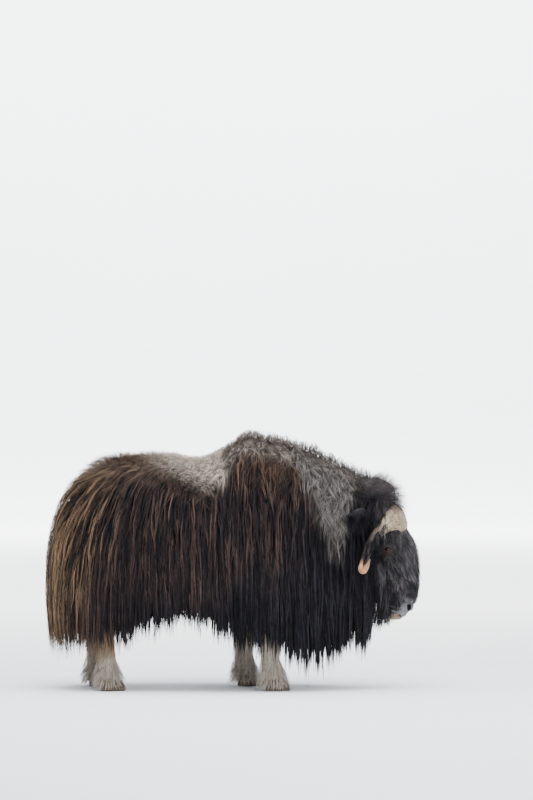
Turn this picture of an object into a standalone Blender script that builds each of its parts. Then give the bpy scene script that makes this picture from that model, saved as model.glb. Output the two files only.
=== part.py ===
"""A life-size still muskox standing with its head low, cut into the parts a person would name.

Metres, +Z up, the animal faces +X and its right side faces -Y. The floor is z = 0.
Every trunk section is read from a few named stations along the back. Locks follow the lie of the
coat: they root in the core of their own part, hang over the row below and stay clear of the cuts.
"""

import math
import random
from collections import namedtuple

import bmesh
import bpy
import numpy as np
from mathutils import Matrix, Vector

GAP = 0.0003
SHARP_MOST = 5.0
FLAT_ANGLE = math.radians(0.6)
TUFT_GAP = 0.0008
EDGE_ANGLE = math.radians(38)
SEED = 7

# Stations along the back: place, coat height, half width, height of the widest part,
# height of the skirt's tips, height of the belly and depth of the coat along the back.
Station = namedtuple("Station", "x back half wide skirt belly nap")
RUMP = Station(-0.60, 1.268, 0.345, 0.66, 0.235, 0.50, 0.034)
LOIN = Station(-0.36, 1.276, 0.380, 0.70, 0.300, 0.47, 0.032)
SADDLE = Station(-0.14, 1.266, 0.396, 0.72, 0.315, 0.45, 0.030)
GIRTH = Station(-0.03, 1.325, 0.403, 0.73, 0.240, 0.44, 0.045)
HUMP = Station(0.08, 1.415, 0.403, 0.74, 0.195, 0.43, 0.065)
WITHERS = Station(0.20, 1.395, 0.388, 0.75, 0.190, 0.42, 0.065)
BREAST = Station(0.36, 1.350, 0.338, 0.74, 0.105, 0.43, 0.060)
MANE = Station(0.50, 1.297, 0.280, 0.72, 0.105, 0.48, 0.060)
NAPE = Station(0.66, 1.222, 0.215, 0.72, 0.195, 0.56, 0.060)
STATIONS = (RUMP, LOIN, SADDLE, GIRTH, HUMP, WITHERS, BREAST, MANE, NAPE)

SIDE_DEPTH = 0.070
REAR_REACH, REAR_ARC = 0.400, 0.55
FRONT_REACH, FRONT_ARC = 0.110, 0.26
SIDE_LENGTH = NAPE.x - RUMP.x
REAR_SKIRT, REAR_WIDE = 0.210, 0.62
FRONT_SKIRT, FRONT_WIDE = 0.320, 0.74
DOME_POWER, BELLY_POWER, PLAN_POWER = 2.15, 2.5, 2.3
HANG_IN = 0.95
RING_XS = (
    -0.60, -0.50, -0.40, -0.29, -0.19, -0.11, -0.05, 0.01, 0.07, 0.14, 0.22, 0.31, 0.40, 0.50, 0.58, 0.66
)

# Vertical cuts between the parts of the trunk.
HAUNCH_CUT, SHOULDER_CUT, NECK_CUT = -0.40, -0.045, 0.40

# Rows of locks from the ridge down: where they root and end as shares of the way from the ridge to
# the skirt's tips, how ragged the row is, how far out it lies, its pitch and how much each covers.
Row = namedtuple("Row", "start end stray lift pitch cover")
COAT_ROWS = (
    Row(0.600, 0.965, 0.050, 0.42, 0.200, 1.20),
    Row(0.500, 1.000, 0.035, 0.98, 0.136, 1.20),
    Row(0.330, 0.780, 0.030, 1.00, 0.150, 1.20),
    Row(0.150, 0.530, 0.030, 1.00, 0.158, 1.20),
    Row(0.012, 0.290, 0.020, 1.00, 0.165, 1.20),
)
LOCK_THICK, LOCK_SINK, CUT_ROOM = 0.020, 0.030, 0.0015
TUFT_THICK = 0.016
LOCK_SHARES = (0.0, 0.20, 0.45, 0.72, 1.0)
LOCK_TAPER = ((0.75, 0.9), (1.0, 1.0), (0.95, 0.9), (0.62, 0.6))
RUMP_SWEEP = 0.24

HEAD_TURN = math.radians(-10)
HEAD_PIVOT = Vector((0.70, 0, 0))
EYE_RADIUS = 0.0190
EYE_PLACE = Vector((0.862, 0.112, 0.757))
LIDS, LID_REACH = ((0.0185, 1, 0.0075), (0.0175, -1, 0.0060)), 0.0235
NOSTRIL_HEIGHT, NOSTRIL_ASIDE = 0.446, 0.043
BOSS_SPLIT = 0.0012

Foot = namedtuple("Foot", "name x y top lean ankle toe")
FEET = (
    Foot("foreleg_right", 0.215, -0.170, 0.60, -0.030, 0.058, 0.128),
    Foot("foreleg_left", 0.062, 0.170, 0.60, 0.010, 0.058, 0.110),
    Foot("hindleg_right", -0.665, -0.165, 0.62, 0.040, 0.052, 0.118),
    Foot("hindleg_left", -0.745, 0.165, 0.62, 0.060, 0.052, 0.118),
)
HOOF_HEIGHT, CLAW_LENGTH, CLAW_WIDTH, CLAW_SPREAD = 0.058, 0.070, 0.034, 0.032
HOOF_AHEAD, CLAW_PINCH = 0.012, 0.30

# Legs from the top down: share of the height, shift forward, half length and half width.
LegRing = namedtuple("LegRing", "share shift long wide")
FORE_SHAPE = (
    LegRing(1.00, 0.000, 0.115, 0.085),
    LegRing(0.80, 0.000, 0.095, 0.075),
    LegRing(0.62, 0.000, 0.075, 0.066),
    LegRing(0.50, 0.010, 0.066, 0.060),
    LegRing(0.40, 0.010, 0.062, 0.057),
    LegRing(0.30, 0.000, 0.054, 0.050),
    LegRing(0.22, 0.000, 0.052, 0.050),
    LegRing(0.14, 0.000, 0.060, 0.056),
    LegRing(0.06, 0.005, 0.062, 0.058),
    LegRing(0.00, 0.010, 0.058, 0.054),
)
HIND_SHAPE = (
    LegRing(1.00, 0.020, 0.150, 0.095),
    LegRing(0.80, 0.010, 0.118, 0.082),
    LegRing(0.64, -0.010, 0.086, 0.066),
    LegRing(0.52, -0.035, 0.066, 0.054),
    LegRing(0.42, -0.035, 0.058, 0.050),
    LegRing(0.30, -0.020, 0.050, 0.046),
    LegRing(0.22, -0.012, 0.050, 0.047),
    LegRing(0.14, -0.005, 0.058, 0.054),
    LegRing(0.06, 0.000, 0.061, 0.056),
    LegRing(0.00, 0.006, 0.057, 0.053),
)
DEWCLAW_BACK, DEWCLAW_SPREAD, DEWCLAW_HIGH, DEWCLAW_LOW = (0.035, 0.068), 0.022, 0.098, 0.076

# One claw from the sole up: height, reach ahead and behind as shares of its length, and width.
ClawRing = namedtuple("ClawRing", "z fore rear wide")
CLAW_RINGS = (
    ClawRing(0.0, 1.00, 0.80, 0.96),
    ClawRing(0.006, 1.04, 0.84, 1.02),
    ClawRing(0.030, 0.95, 0.78, 0.98),
    ClawRing(HOOF_HEIGHT - 0.004, 0.74, 0.66, 0.80),
)
BAND_RINGS = ((0.030, 0.058, 0.054), (HOOF_HEIGHT, 0.060, 0.056))


def clear_scene():
    """Removes every object, so that the file starts empty."""
    for obj in list(bpy.data.objects):
        bpy.data.objects.remove(obj, do_unlink=True)


def material(name, colour, roughness):
    """One plain material that isn't a metal."""
    mat = bpy.data.materials.new(name)
    mat.use_nodes = True
    shader = mat.node_tree.nodes["Principled BSDF"]
    shader.inputs["Base Color"].default_value = (*colour, 1.0)
    shader.inputs["Roughness"].default_value = roughness
    shader.inputs["Metallic"].default_value = 0.0
    return mat


def along(field):
    """A smooth curve through one field of the stations, as a function of x."""
    xs = np.array([s.x for s in STATIONS])
    ys = np.array([getattr(s, field) for s in STATIONS])
    slope = np.gradient(ys, xs)

    def read(x):
        x = np.clip(np.asarray(x, float), xs[0], xs[-1])
        i = np.clip(np.searchsorted(xs, x) - 1, 0, len(xs) - 2)
        h = xs[i + 1] - xs[i]
        t = (x - xs[i]) / h
        return (
            ys[i] * (2 * t**3 - 3 * t**2 + 1)
            + slope[i] * h * (t**3 - 2 * t**2 + t)
            + ys[i + 1] * (3 * t**2 - 2 * t**3)
            + slope[i + 1] * h * (t**3 - t**2)
        )

    return read


BACK, HALF, WIDE, SKIRT, BELLY, NAP = (
    along(field) for field in ("back", "half", "wide", "skirt", "belly", "nap")
)


def smooth_step(low, high, value):
    """Rises from 0 to 1 without a corner as value goes from low to high."""
    t = min(1.0, max(0.0, (value - low) / (high - low)))
    return t * t * (3 - 2 * t)


def polar(reach_a, reach_b, angle):
    """The radius of a rounded plan outline with reach_a straight ahead and reach_b at its side."""
    return (
        (abs(math.cos(angle)) / reach_a) ** PLAN_POWER
        + (abs(math.sin(angle)) / reach_b) ** PLAN_POWER
    ) ** (-1 / PLAN_POWER)


def section(u):
    """The coat's section at u, in metres round one side from the middle of the rear to the throat."""
    if u < REAR_ARC:
        angle = u / REAR_ARC * math.pi / 2
        x, way = RUMP.x, (-math.cos(angle), math.sin(angle))
        radius = polar(REAR_REACH, RUMP.half, angle)
        turn, wide, skirt = math.cos(angle) ** 2, REAR_WIDE, REAR_SKIRT
    elif u <= REAR_ARC + SIDE_LENGTH:
        x, way = RUMP.x + u - REAR_ARC, (0.0, 1.0)
        radius, turn, wide, skirt = float(HALF(x)), 0.0, 0.0, 0.0
    else:
        angle = min(1.0, (u - REAR_ARC - SIDE_LENGTH) / FRONT_ARC) * math.pi / 2
        x, way = NAPE.x, (math.sin(angle), math.cos(angle))
        radius = polar(NAPE.half, FRONT_REACH, angle)
        turn, wide, skirt = math.sin(angle) ** 2, FRONT_WIDE, FRONT_SKIRT
    wide = float(WIDE(x)) * (1 - turn) + wide * turn
    skirt = float(SKIRT(x)) * (1 - turn) + skirt * turn
    return x, way, radius, float(BACK(x)), wide, skirt


def coat_line(u):
    """The coat's outline at u from the ridge to the skirt's tips, as evenly spaced (r, z) points."""
    _, _, radius, back, wide, skirt = section(u)
    dome = []
    for k in range(25):
        a = k / 24 * math.pi / 2
        bulge, rise = math.sin(a) ** (2 / DOME_POWER), math.cos(a) ** (2 / DOME_POWER)
        dome.append((radius * bulge, wide + (back - wide) * rise))
    for k in range(1, 13):
        t = k / 12
        dome.append((radius * (1 - (1 - HANG_IN) * t * t), wide + (skirt - wide) * t))
    points = np.array(dome)
    steps = np.concatenate([[0], np.cumsum(np.linalg.norm(np.diff(points, axis=0), axis=1))])
    even = np.linspace(0, steps[-1], 49)
    line = np.stack([np.interp(even, steps, points[:, i]) for i in (0, 1)], 1)
    return line, steps[24] / steps[-1], steps[-1]


def depth_at(u, f):
    """The coat's depth beyond the core at share f of the way from the ridge to the skirt's tips."""
    nap = float(NAP(section(u)[0]))
    return nap + (SIDE_DEPTH - nap) * smooth_step(0.10, 0.36, f)


def flow(u, f, d, side):
    """The place at u and share f, on the core at d = 0 and on the coat at d = 1, and the way out."""
    u = min(max(u, 0.0), REAR_ARC + SIDE_LENGTH + FRONT_ARC)
    x, way, *_ = section(u)
    line, _, _ = coat_line(u)
    at = f * 48
    i = int(min(max(at, 0), 47))
    r, z = line[i] + (line[i + 1] - line[i]) * (at - i)
    step = line[min(i + 1, 48)] - line[max(i - 1, 0)]
    out = np.array((-step[1], step[0])) / np.linalg.norm(step)
    inset = depth_at(u, f) * (1 - d)
    r, z = r - out[0] * inset, z - out[1] * inset
    return (
        Vector((x + way[0] * r, side * way[1] * r, z)),
        Vector((way[0] * out[0], side * way[1] * out[0], out[1])),
    )


def core_ring(u, grow=0.0):
    """One side's core outline at u, from the ridge to the belly line, grown outwards by grow."""
    x, way, *_ = section(u)
    widest = coat_line(u)[1]
    upper = [flow(u, widest * (k / 8) ** 0.9, grow / SIDE_DEPTH, 1)[0] for k in range(9)]
    edge = upper[-1]
    reach = math.hypot(edge.x - x, edge.y)
    belly = float(BELLY(x)) - grow
    lower = []
    for k in range(1, 7):
        a = k / 6 * math.pi / 2
        r = reach * max(0.0, math.cos(a)) ** (2 / BELLY_POWER)
        z = edge.z - (edge.z - belly) * math.sin(a) ** (2 / BELLY_POWER)
        lower.append(Vector((x + way[0] * r, way[1] * r, z)))
    upper[0] = Vector((x, 0, upper[0].z))
    lower[-1] = Vector((x, 0, belly))
    return upper + lower


def ring_places():
    """Where the trunk's rings stand, closest over the hump."""
    rear = [REAR_ARC * k / 6 for k in range(6)]
    sides = [REAR_ARC + x - RUMP.x for x in RING_XS]
    front = [REAR_ARC + SIDE_LENGTH + FRONT_ARC * k / 4 for k in range(1, 5)]
    return rear + sides + front


def trunk_mesh(name, rings_of):
    """A closed trunk from one side's rings and their mirror images, joined along ridge and belly."""
    bm = bmesh.new()
    known = {}

    def vert(p):
        key = (round(p.x, 6), round(p.y, 6), round(p.z, 6))
        if key not in known:
            known[key] = bm.verts.new(p)
        return known[key]

    for side in (-1, 1):
        rings = [[vert(Vector((p.x, side * p.y, p.z))) for p in ring] for ring in rings_of]
        for a, b in zip(rings, rings[1:]):
            for k in range(len(a) - 1):
                corners = []
                for v in (a[k], b[k], b[k + 1], a[k + 1]):
                    if v not in corners:
                        corners.append(v)
                if len(corners) > 2:
                    bm.faces.new(corners if side > 0 else corners[::-1])
    bmesh.ops.recalc_face_normals(bm, faces=bm.faces)
    return to_object(bm, name)


def to_object(bm, name):
    """Makes an object of a bmesh, all in triangles."""
    mesh = bpy.data.meshes.new(name)
    bmesh.ops.triangulate(bm, faces=[f for f in bm.faces if len(f.verts) > 3])
    bm.to_mesh(mesh)
    bm.free()
    obj = bpy.data.objects.new(name, mesh)
    bpy.context.scene.collection.objects.link(obj)
    return obj


def copied(obj, name):
    """A second object with a mesh of its own."""
    new = bpy.data.objects.new(name, obj.data.copy())
    bpy.context.scene.collection.objects.link(new)
    return new


def cut_by_plane(obj, place, outward):
    """Removes what lies beyond the plane and closes the cut."""
    bm = bmesh.new()
    bm.from_mesh(obj.data)
    made = bmesh.ops.bisect_plane(
        bm,
        geom=bm.verts[:] + bm.edges[:] + bm.faces[:],
        plane_co=place,
        plane_no=outward,
        clear_outer=True,
        dist=1e-6,
    )
    rim = [e for e in made["geom_cut"] if isinstance(e, bmesh.types.BMEdge)]
    bmesh.ops.contextual_create(bm, geom=rim)
    bmesh.ops.triangulate(bm, faces=[f for f in bm.faces if len(f.verts) > 3])
    bmesh.ops.recalc_face_normals(bm, faces=bm.faces)
    bm.to_mesh(obj.data)
    bm.free()


def apply_modifiers(obj):
    """Turns what the modifiers make into the object's own mesh."""
    graph = bpy.context.evaluated_depsgraph_get()
    mesh = bpy.data.meshes.new_from_object(obj.evaluated_get(graph))
    obj.modifiers.clear()
    obj.data = mesh


def keep_largest(obj):
    """Keeps only the largest closed surface of a mesh."""
    bm = bmesh.new()
    bm.from_mesh(obj.data)
    left, groups = set(bm.faces), []
    while left:
        group, todo = set(), [next(iter(left))]
        while todo:
            face = todo.pop()
            if face in group:
                continue
            group.add(face)
            todo += [f for e in face.edges for f in e.link_faces if f not in group]
        left -= group
        groups.append(group)
    groups.sort(key=lambda g: sum(f.calc_area() for f in g))
    loose = [f for g in groups[:-1] for f in g]
    if loose:
        bmesh.ops.delete(bm, geom=loose, context="FACES")
    bm.to_mesh(obj.data)
    bm.free()


def combine(obj, pieces, operation, solver):
    """One Boolean of a body with a collection of closed pieces, which are then removed."""
    group = bpy.data.collections.new(obj.name + "_pieces")
    bpy.context.scene.collection.children.link(group)
    for piece in pieces:
        bpy.context.scene.collection.objects.unlink(piece)
        group.objects.link(piece)
    step = obj.modifiers.new("combine", "BOOLEAN")
    step.operation, step.solver = operation, solver
    step.operand_type, step.collection = "COLLECTION", group
    apply_modifiers(obj)
    for piece in pieces:
        bpy.data.objects.remove(piece, do_unlink=True)
    bpy.data.collections.remove(group)
    keep_largest(obj)


def merge_flat(obj):
    """Joins faces in one plane, which Booleans leave cut up, and splits them into triangles again."""
    bm = bmesh.new()
    bm.from_mesh(obj.data)
    bmesh.ops.dissolve_limit(bm, angle_limit=FLAT_ANGLE, verts=bm.verts, edges=bm.edges)
    bmesh.ops.triangulate(bm, faces=[f for f in bm.faces if len(f.verts) > 3])
    bm.to_mesh(obj.data)
    bm.free()


def join_all(obj, pieces, solver="EXACT"):
    """Joins closed pieces to a body."""
    combine(obj, pieces, "UNION", solver)


def cut_away(obj, pieces, solver="EXACT"):
    """Cuts closed pieces out of a body."""
    combine(obj, pieces, "DIFFERENCE", solver)


def grown_copy(obj, by):
    """A copy with its faces moved outwards, further at sharp points so that each clears by as much."""
    new = copied(obj, obj.name + "_grown")
    bm = bmesh.new()
    bm.from_mesh(new.data)
    bm.normal_update()
    moved = [v.co + v.normal * by * min(SHARP_MOST, v.calc_shell_factor()) for v in bm.verts]
    for v, p in zip(bm.verts, moved):
        v.co = p
    bm.to_mesh(new.data)
    bm.free()
    return new


def clear_of(obj, others, whole=()):
    """Cuts a body clear of its neighbours' pieces by their gap, and of whole ones as they are."""
    cutters = [grown_copy(other, TUFT_GAP if whole else GAP * 1.3) for other in others]
    cutters += [copied(piece, "whole_cutter") for piece in whole]
    cut_away(obj, cutters, "MANIFOLD")


def lock(name, points, outs, width, thick, twist, inside):
    """A flat tapered lock of hair: a low ridged section swept down its points to a fine tip.

    Inside moves a point of it off the cuts round its part.
    """
    bm = bmesh.new()
    rings = []
    for k, (wide, deep) in enumerate(LOCK_TAPER):
        way = (points[k + 1] - points[max(k - 1, 0)]).normalized()
        across = outs[k].cross(way).normalized()
        out = way.cross(across).normalized()
        turn = Matrix.Rotation(twist * k / len(LOCK_TAPER), 3, way)
        across, out = turn @ across * (width * wide / 2), turn @ out * (thick * deep)
        rings.append([bm.verts.new(inside(points[k] + v)) for v in (-across, out, across)])
    tip = bm.verts.new(inside(points[len(LOCK_TAPER)]))
    bm.faces.new(rings[0][::-1])
    for a, b in zip(rings, rings[1:]):
        for i in range(3):
            j = (i + 1) % 3
            bm.faces.new((a[i], a[j], b[j], b[i]))
    for i in range(3):
        bm.faces.new((rings[-1][i], rings[-1][(i + 1) % 3], tip))
    bmesh.ops.recalc_face_normals(bm, faces=bm.faces)
    return to_object(bm, name)


def sweep_at(u):
    """How far back the hair of the rump drifts for each share of the way down it goes."""
    return RUMP_SWEEP * smooth_step(0.0, REAR_ARC, u) * (1 - smooth_step(REAR_ARC, REAR_ARC + 0.25, u))


def hanging_lock(draw, name, row, u, side, low, high, odd, width):
    """A lock rooted in the core at the row's start that lies over the row below it."""
    start = row.start + draw.uniform(-0.5, 0.5) * row.stray
    end = min(1.0, row.end + draw.uniform(-1.0, 0.6) * row.stray)
    sway, bend = draw.uniform(-0.014, 0.014), draw.uniform(-0.5, 0.5)
    lift = row.lift + (0.22 if odd else -0.22)
    points, outs = [], []
    for k, t in enumerate(LOCK_SHARES):
        f = start + (end - start) * t
        here = u - sweep_at(u) * (f - start) + sway * math.sin(2.6 * t + bend)
        sunk = -LOCK_SINK / depth_at(here, start)
        d = sunk + (lift - sunk) * min(1.0, t * 1.5) ** 0.6
        p, out = flow(here, f, d, side)
        half = width / 2 * LOCK_TAPER[k][0] if k < len(LOCK_TAPER) else 0.0
        p.x = min(max(p.x, low + 0.8 * half), high - 0.8 * half)
        p.y = side * max(p.y * side, 0.010 + 0.8 * half * abs(out.x))
        points.append(p)
        outs.append(out)

    def inside(p):
        x = min(max(p.x, low + CUT_ROOM), high - CUT_ROOM)
        return Vector((x, side * max(p.y * side, CUT_ROOM), p.z))

    thick, twist = LOCK_THICK * draw.uniform(0.85, 1.15), draw.uniform(-0.3, 0.3)
    return lock(name, points, outs, width, thick, twist, inside)


def coat_locks(part, low, high, side, draw):
    """The rows of locks over one part of the trunk, each row staggered against the one above it."""
    low_u = 0.0 if low < RUMP.x else REAR_ARC + low - RUMP.x
    high_u = REAR_ARC + SIDE_LENGTH + FRONT_ARC if high > NAPE.x else REAR_ARC + high - RUMP.x
    pieces = []
    for number, row in enumerate(COAT_ROWS):
        count = max(2, round((high_u - low_u) / row.pitch))
        pitch = (high_u - low_u) / count
        for i in range(count):
            u = low_u + pitch * (i + 0.5 + draw.uniform(-0.10, 0.10))
            throat = u > REAR_ARC + SIDE_LENGTH
            round_end = u < REAR_ARC or throat
            if round_end and row.start < (0.45 if throat else 0.10):
                continue
            crowd = 0.70 if round_end and row.start < 0.3 else 1.0
            width = pitch * row.cover * crowd * draw.uniform(0.92, 1.08)
            pieces.append(hanging_lock(draw, part, row, u, side, low, high, (i + number) % 2, width))
    return pieces


# The head, straight ahead: height, back of the head, front of the face and half width.
Slice = namedtuple("Slice", "z back front half power")
HEAD_SLICES = (
    Slice(1.148, 0.715, 0.835, 0.060, 2.0),
    Slice(1.125, 0.685, 0.876, 0.105, 2.1),
    Slice(1.078, 0.668, 0.900, 0.136, 2.2),
    Slice(1.020, 0.665, 0.898, 0.146, 2.3),
    Slice(0.970, 0.668, 0.900, 0.144, 2.3),
    Slice(0.915, 0.675, 0.925, 0.136, 2.3),
    Slice(0.855, 0.680, 0.955, 0.128, 2.3),
    Slice(0.800, 0.690, 0.988, 0.123, 2.3),
    Slice(0.745, 0.700, 1.008, 0.118, 2.3),
    Slice(0.680, 0.720, 1.017, 0.109, 2.3),
    Slice(0.610, 0.745, 1.020, 0.098, 2.3),
    Slice(0.550, 0.770, 1.017, 0.090, 2.4),
    Slice(0.500, 0.785, 1.005, 0.087, 2.5),
    Slice(0.458, 0.793, 0.986, 0.085, 2.5),
    Slice(0.430, 0.796, 0.964, 0.078, 2.4),
    Slice(0.410, 0.798, 0.932, 0.064, 2.3),
    Slice(0.392, 0.801, 0.894, 0.047, 2.2),
    Slice(0.378, 0.808, 0.864, 0.028, 2.0),
)
HEAD_SIDES = 22

# Tufts of the head: height of the root and of the tip, the arc they are spread over from the front
# of the face round to the back, how many, their width and how far out their tips lie.
Tuft = namedtuple("Tuft", "root tip low high count width lift")
HEAD_TUFTS = (
    Tuft(1.118, 0.985, 0.00, 0.32, 2, 0.080, 0.024),
    Tuft(1.110, 0.950, 0.40, 0.60, 1, 0.105, 0.032),
    Tuft(1.095, 0.880, 0.66, 0.88, 1, 0.105, 0.036),
    Tuft(0.900, 0.620, 0.66, 0.88, 1, 0.090, 0.026),
    Tuft(0.700, 0.400, 0.70, 0.86, 1, 0.090, 0.022),
    Tuft(0.540, 0.345, 0.70, 0.90, 1, 0.070, 0.018),
)

# One horn, straight head, right side as +y here: place, half width across the band, half thickness.
Horn = namedtuple("Horn", "x y z wide deep")
HORN_PATH = (
    Horn(0.903, 0.004, 0.910, 0.080, 0.035),
    Horn(0.899, 0.045, 0.914, 0.080, 0.037),
    Horn(0.886, 0.088, 0.912, 0.067, 0.037),
    Horn(0.862, 0.124, 0.892, 0.043, 0.034),
    Horn(0.828, 0.150, 0.862, 0.031, 0.030),
    Horn(0.789, 0.174, 0.812, 0.025, 0.026),
    Horn(0.762, 0.196, 0.748, 0.022, 0.023),
    Horn(0.745, 0.218, 0.690, 0.021, 0.021),
    Horn(0.738, 0.246, 0.652, 0.020, 0.019),
    Horn(0.752, 0.276, 0.646, 0.016, 0.015),
    Horn(0.773, 0.296, 0.669, 0.011, 0.011),
    Horn(0.790, 0.302, 0.708, 0.003, 0.003),
)
EAR_ROOT, EAR_TIP = Vector((0.735, 0.128, 0.950)), Vector((0.690, 0.262, 0.945))
EAR_WIDTH, EAR_THICK = 0.060, 0.034


def loft(name, rings, pole_low=None, pole_high=None):
    """Skins closed rings of equal count. A pole closes an end as a fan, no pole as one flat face."""
    bm = bmesh.new()
    made = [[bm.verts.new(p) for p in ring] for ring in rings]
    n = len(made[0])
    for a, b in zip(made, made[1:]):
        for i in range(n):
            j = (i + 1) % n
            bm.faces.new((a[i], a[j], b[j], b[i]))
    for ring, pole in ((made[0], pole_low), (made[-1], pole_high)):
        if pole is None:
            bm.faces.new(ring)
            continue
        tip = bm.verts.new(pole)
        for i in range(n):
            bm.faces.new((ring[i], ring[(i + 1) % n], tip))
    bmesh.ops.recalc_face_normals(bm, faces=bm.faces)
    return to_object(bm, name)


def round_loop(centre, across, along_way, a, b, count, power=2.0):
    """A superellipse loop in the plane of two directions."""
    loop = []
    for k in range(count):
        t = math.tau * k / count
        c, s = math.cos(t), math.sin(t)
        wide, long = (math.copysign(abs(v) ** (2 / power), v) for v in (c, s))
        loop.append(centre + across * (a * wide) + along_way * (b * long))
    return loop


def tube(name, path, radii, count, flat=1.0, out=Vector((0, 1, 0))):
    """A round tube along a path that ends in rounded poles. Flat squeezes it along out."""
    rings = []
    for k, (p, r) in enumerate(zip(path, radii)):
        way = (path[min(k + 1, len(path) - 1)] - path[max(k - 1, 0)]).normalized()
        across = way.cross(out).normalized()
        up = across.cross(way).normalized()
        rings.append(round_loop(p, across, up, r, r * flat, count))
    ends = [path[0] - (path[1] - path[0]).normalized() * radii[0] * 0.4]
    ends.append(path[-1] + (path[-1] - path[-2]).normalized() * radii[-1] * 0.4)
    return loft(name, rings, ends[0], ends[1])


def ball(name, place, radii, turn=None, level=2):
    """An ellipsoid in triangles."""
    bm = bmesh.new()
    bmesh.ops.create_icosphere(bm, subdivisions=level, radius=1.0)
    turn = turn.to_4x4() if turn else Matrix()
    frame = Matrix.Translation(place) @ turn @ Matrix.Diagonal((*radii, 1))
    bmesh.ops.transform(bm, matrix=frame, verts=bm.verts)
    return to_object(bm, name)


def head_slice_at(z):
    """The head's slice at a height, read between the named ones."""
    rising = HEAD_SLICES[::-1]
    zs = [s.z for s in rising]
    return [np.interp(z, zs, [getattr(s, field) for s in rising]) for field in ("back", "front", "half")]


def face_point(z, y):
    """The front of the face at a height and a distance from the middle."""
    back, front, half = head_slice_at(z)
    reach = (front - back) / 2
    return Vector(((front + back) / 2 + reach * max(0.0, 1 - abs(y / half) ** 2.3) ** (1 / 2.3), y, z))


def eyelids(eye, side):
    """Two arcs of lid that close round the eye's ball."""
    lids = []
    for drop, lift, rim in LIDS:
        path, radii = [], []
        for k in range(6):
            a = math.radians(12 + 156 * k / 5)
            out = side * (0.0045 + 0.0085 * math.sin(a))
            path.append(eye + Vector((math.cos(a) * LID_REACH, out, lift * math.sin(a) * drop)))
            radii.append(rim * (0.55 + 0.45 * math.sin(a)))
        lids.append(tube("lid", path, radii, 5))
    return lids


def mouth_line():
    """The line between the lips, from one corner of the mouth round the front to the other."""
    points = []
    for k in range(9):
        t = -1 + k / 4
        points.append(Vector((0.938 - 0.083 * abs(t) ** 1.8, 0.090 * t, 0.399 + 0.031 * abs(t) ** 2.2)))
    return points


def head_part():
    """The head with its tufts, and copies of its plain forms to cut neighbours with."""
    ahead, aside = Vector((1, 0, 0)), Vector((0, 1, 0))
    rings = []
    for s in HEAD_SLICES:
        centre, reach = Vector(((s.back + s.front) / 2, 0, s.z)), (s.front - s.back) / 2
        rings.append(round_loop(centre, ahead, aside, reach, s.half, HEAD_SIDES, s.power))
    head = loft("head", rings)
    extra, cuts = [], []
    for side in (-1, 1):
        eye = Vector((EYE_PLACE.x, side * EYE_PLACE.y, EYE_PLACE.z))
        extra.append(ball("brow", eye + Vector((-0.002, -0.014 * side, 0.006)), (0.046, 0.030, 0.044)))
        extra += eyelids(eye, side)
        nose = face_point(NOSTRIL_HEIGHT, side * NOSTRIL_ASIDE)
        wing = nose + Vector((-0.012, side * 0.004, 0.004))
        extra.append(ball("nostril_wing", wing, (0.024, 0.024, 0.026)))
        slant = Matrix.Rotation(math.radians(-32 * side), 3, "X")
        slant = slant @ Matrix.Rotation(math.radians(28 * side), 3, "Z")
        hollow = nose + Vector((0.010, side * 0.006, -0.001))
        cuts.append(ball("nostril_hollow", hollow, (0.017, 0.0085, 0.0175), slant))
        lip = [face_point(z, side * y) for z, y in ((0.417, 0.012), (0.419, 0.042), (0.430, 0.066))]
        lip += [Vector((0.892, side * 0.084, 0.440)), Vector((0.856, side * 0.083, 0.452))]
        extra.append(tube("upper_lip", lip, [0.012, 0.013, 0.012, 0.009, 0.005], 8))
    cuts.append(tube("mouth", mouth_line(), [0.0035] * 9, 6))
    tufts = head_tufts(random.Random(f"{SEED} head"))
    pieces = [copied(piece, "guide_" + piece.name) for piece in (head, *extra, *tufts)]
    join_all(head, extra)
    cut_away(head, cuts)
    join_all(head, tufts, "MANIFOLD")
    return head, pieces


def curve_through(knots, steps):
    """Points of a smooth curve through tuples of numbers, evenly many between each two."""
    knots = np.array(knots, float)
    slopes = np.gradient(knots, axis=0)
    points = []
    for a, b, m, n in zip(knots, knots[1:], slopes, slopes[1:]):
        for k in range(steps):
            t = k / steps
            points.append(
                a * (2 * t**3 - 3 * t**2 + 1)
                + m * (t**3 - 2 * t**2 + t)
                + b * (3 * t**2 - 2 * t**3)
                + n * (t**3 - t**2)
            )
    return points + [knots[-1]]


def head_side_point(z, share, lift):
    """A point beside the head's surface at a share of the way round from the face to the back."""
    back, front, half = head_slice_at(z)
    a = share * math.pi
    reach = ((front - back) / 2 + lift, half + lift)
    c, s = math.cos(a), math.sin(a)
    x = (front + back) / 2 + reach[0] * math.copysign(abs(c) ** (2 / 2.3), c)
    return Vector((x, reach[1] * abs(s) ** (2 / 2.3), z))


def head_tufts(draw):
    """The woolly cap that hangs over the boss and the long hair of cheeks and jaw."""
    pieces = []
    for tuft in HEAD_TUFTS:
        for side in (-1, 1):
            for i in range(tuft.count):
                share = tuft.low + (tuft.high - tuft.low) * (i + 0.5 + draw.uniform(-0.1, 0.1)) / tuft.count
                points, outs = [], []
                for k, t in enumerate(LOCK_SHARES):
                    z = tuft.root + (tuft.tip - tuft.root) * t
                    lift = -0.022 + (tuft.lift + 0.022) * min(1.0, t * 1.5) ** 0.6
                    p = head_side_point(z, share, lift)
                    inner = head_side_point(z, share, lift - 0.01)
                    out = Vector((p.x - inner.x, (p.y - inner.y) * side, 0)).normalized()
                    points.append(Vector((p.x, p.y * side, z)))
                    outs.append(out)
                twist = draw.uniform(-0.2, 0.2)
                pieces.append(lock("tuft", points, outs, tuft.width, TUFT_THICK, twist, lambda p: p))
    return pieces


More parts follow.
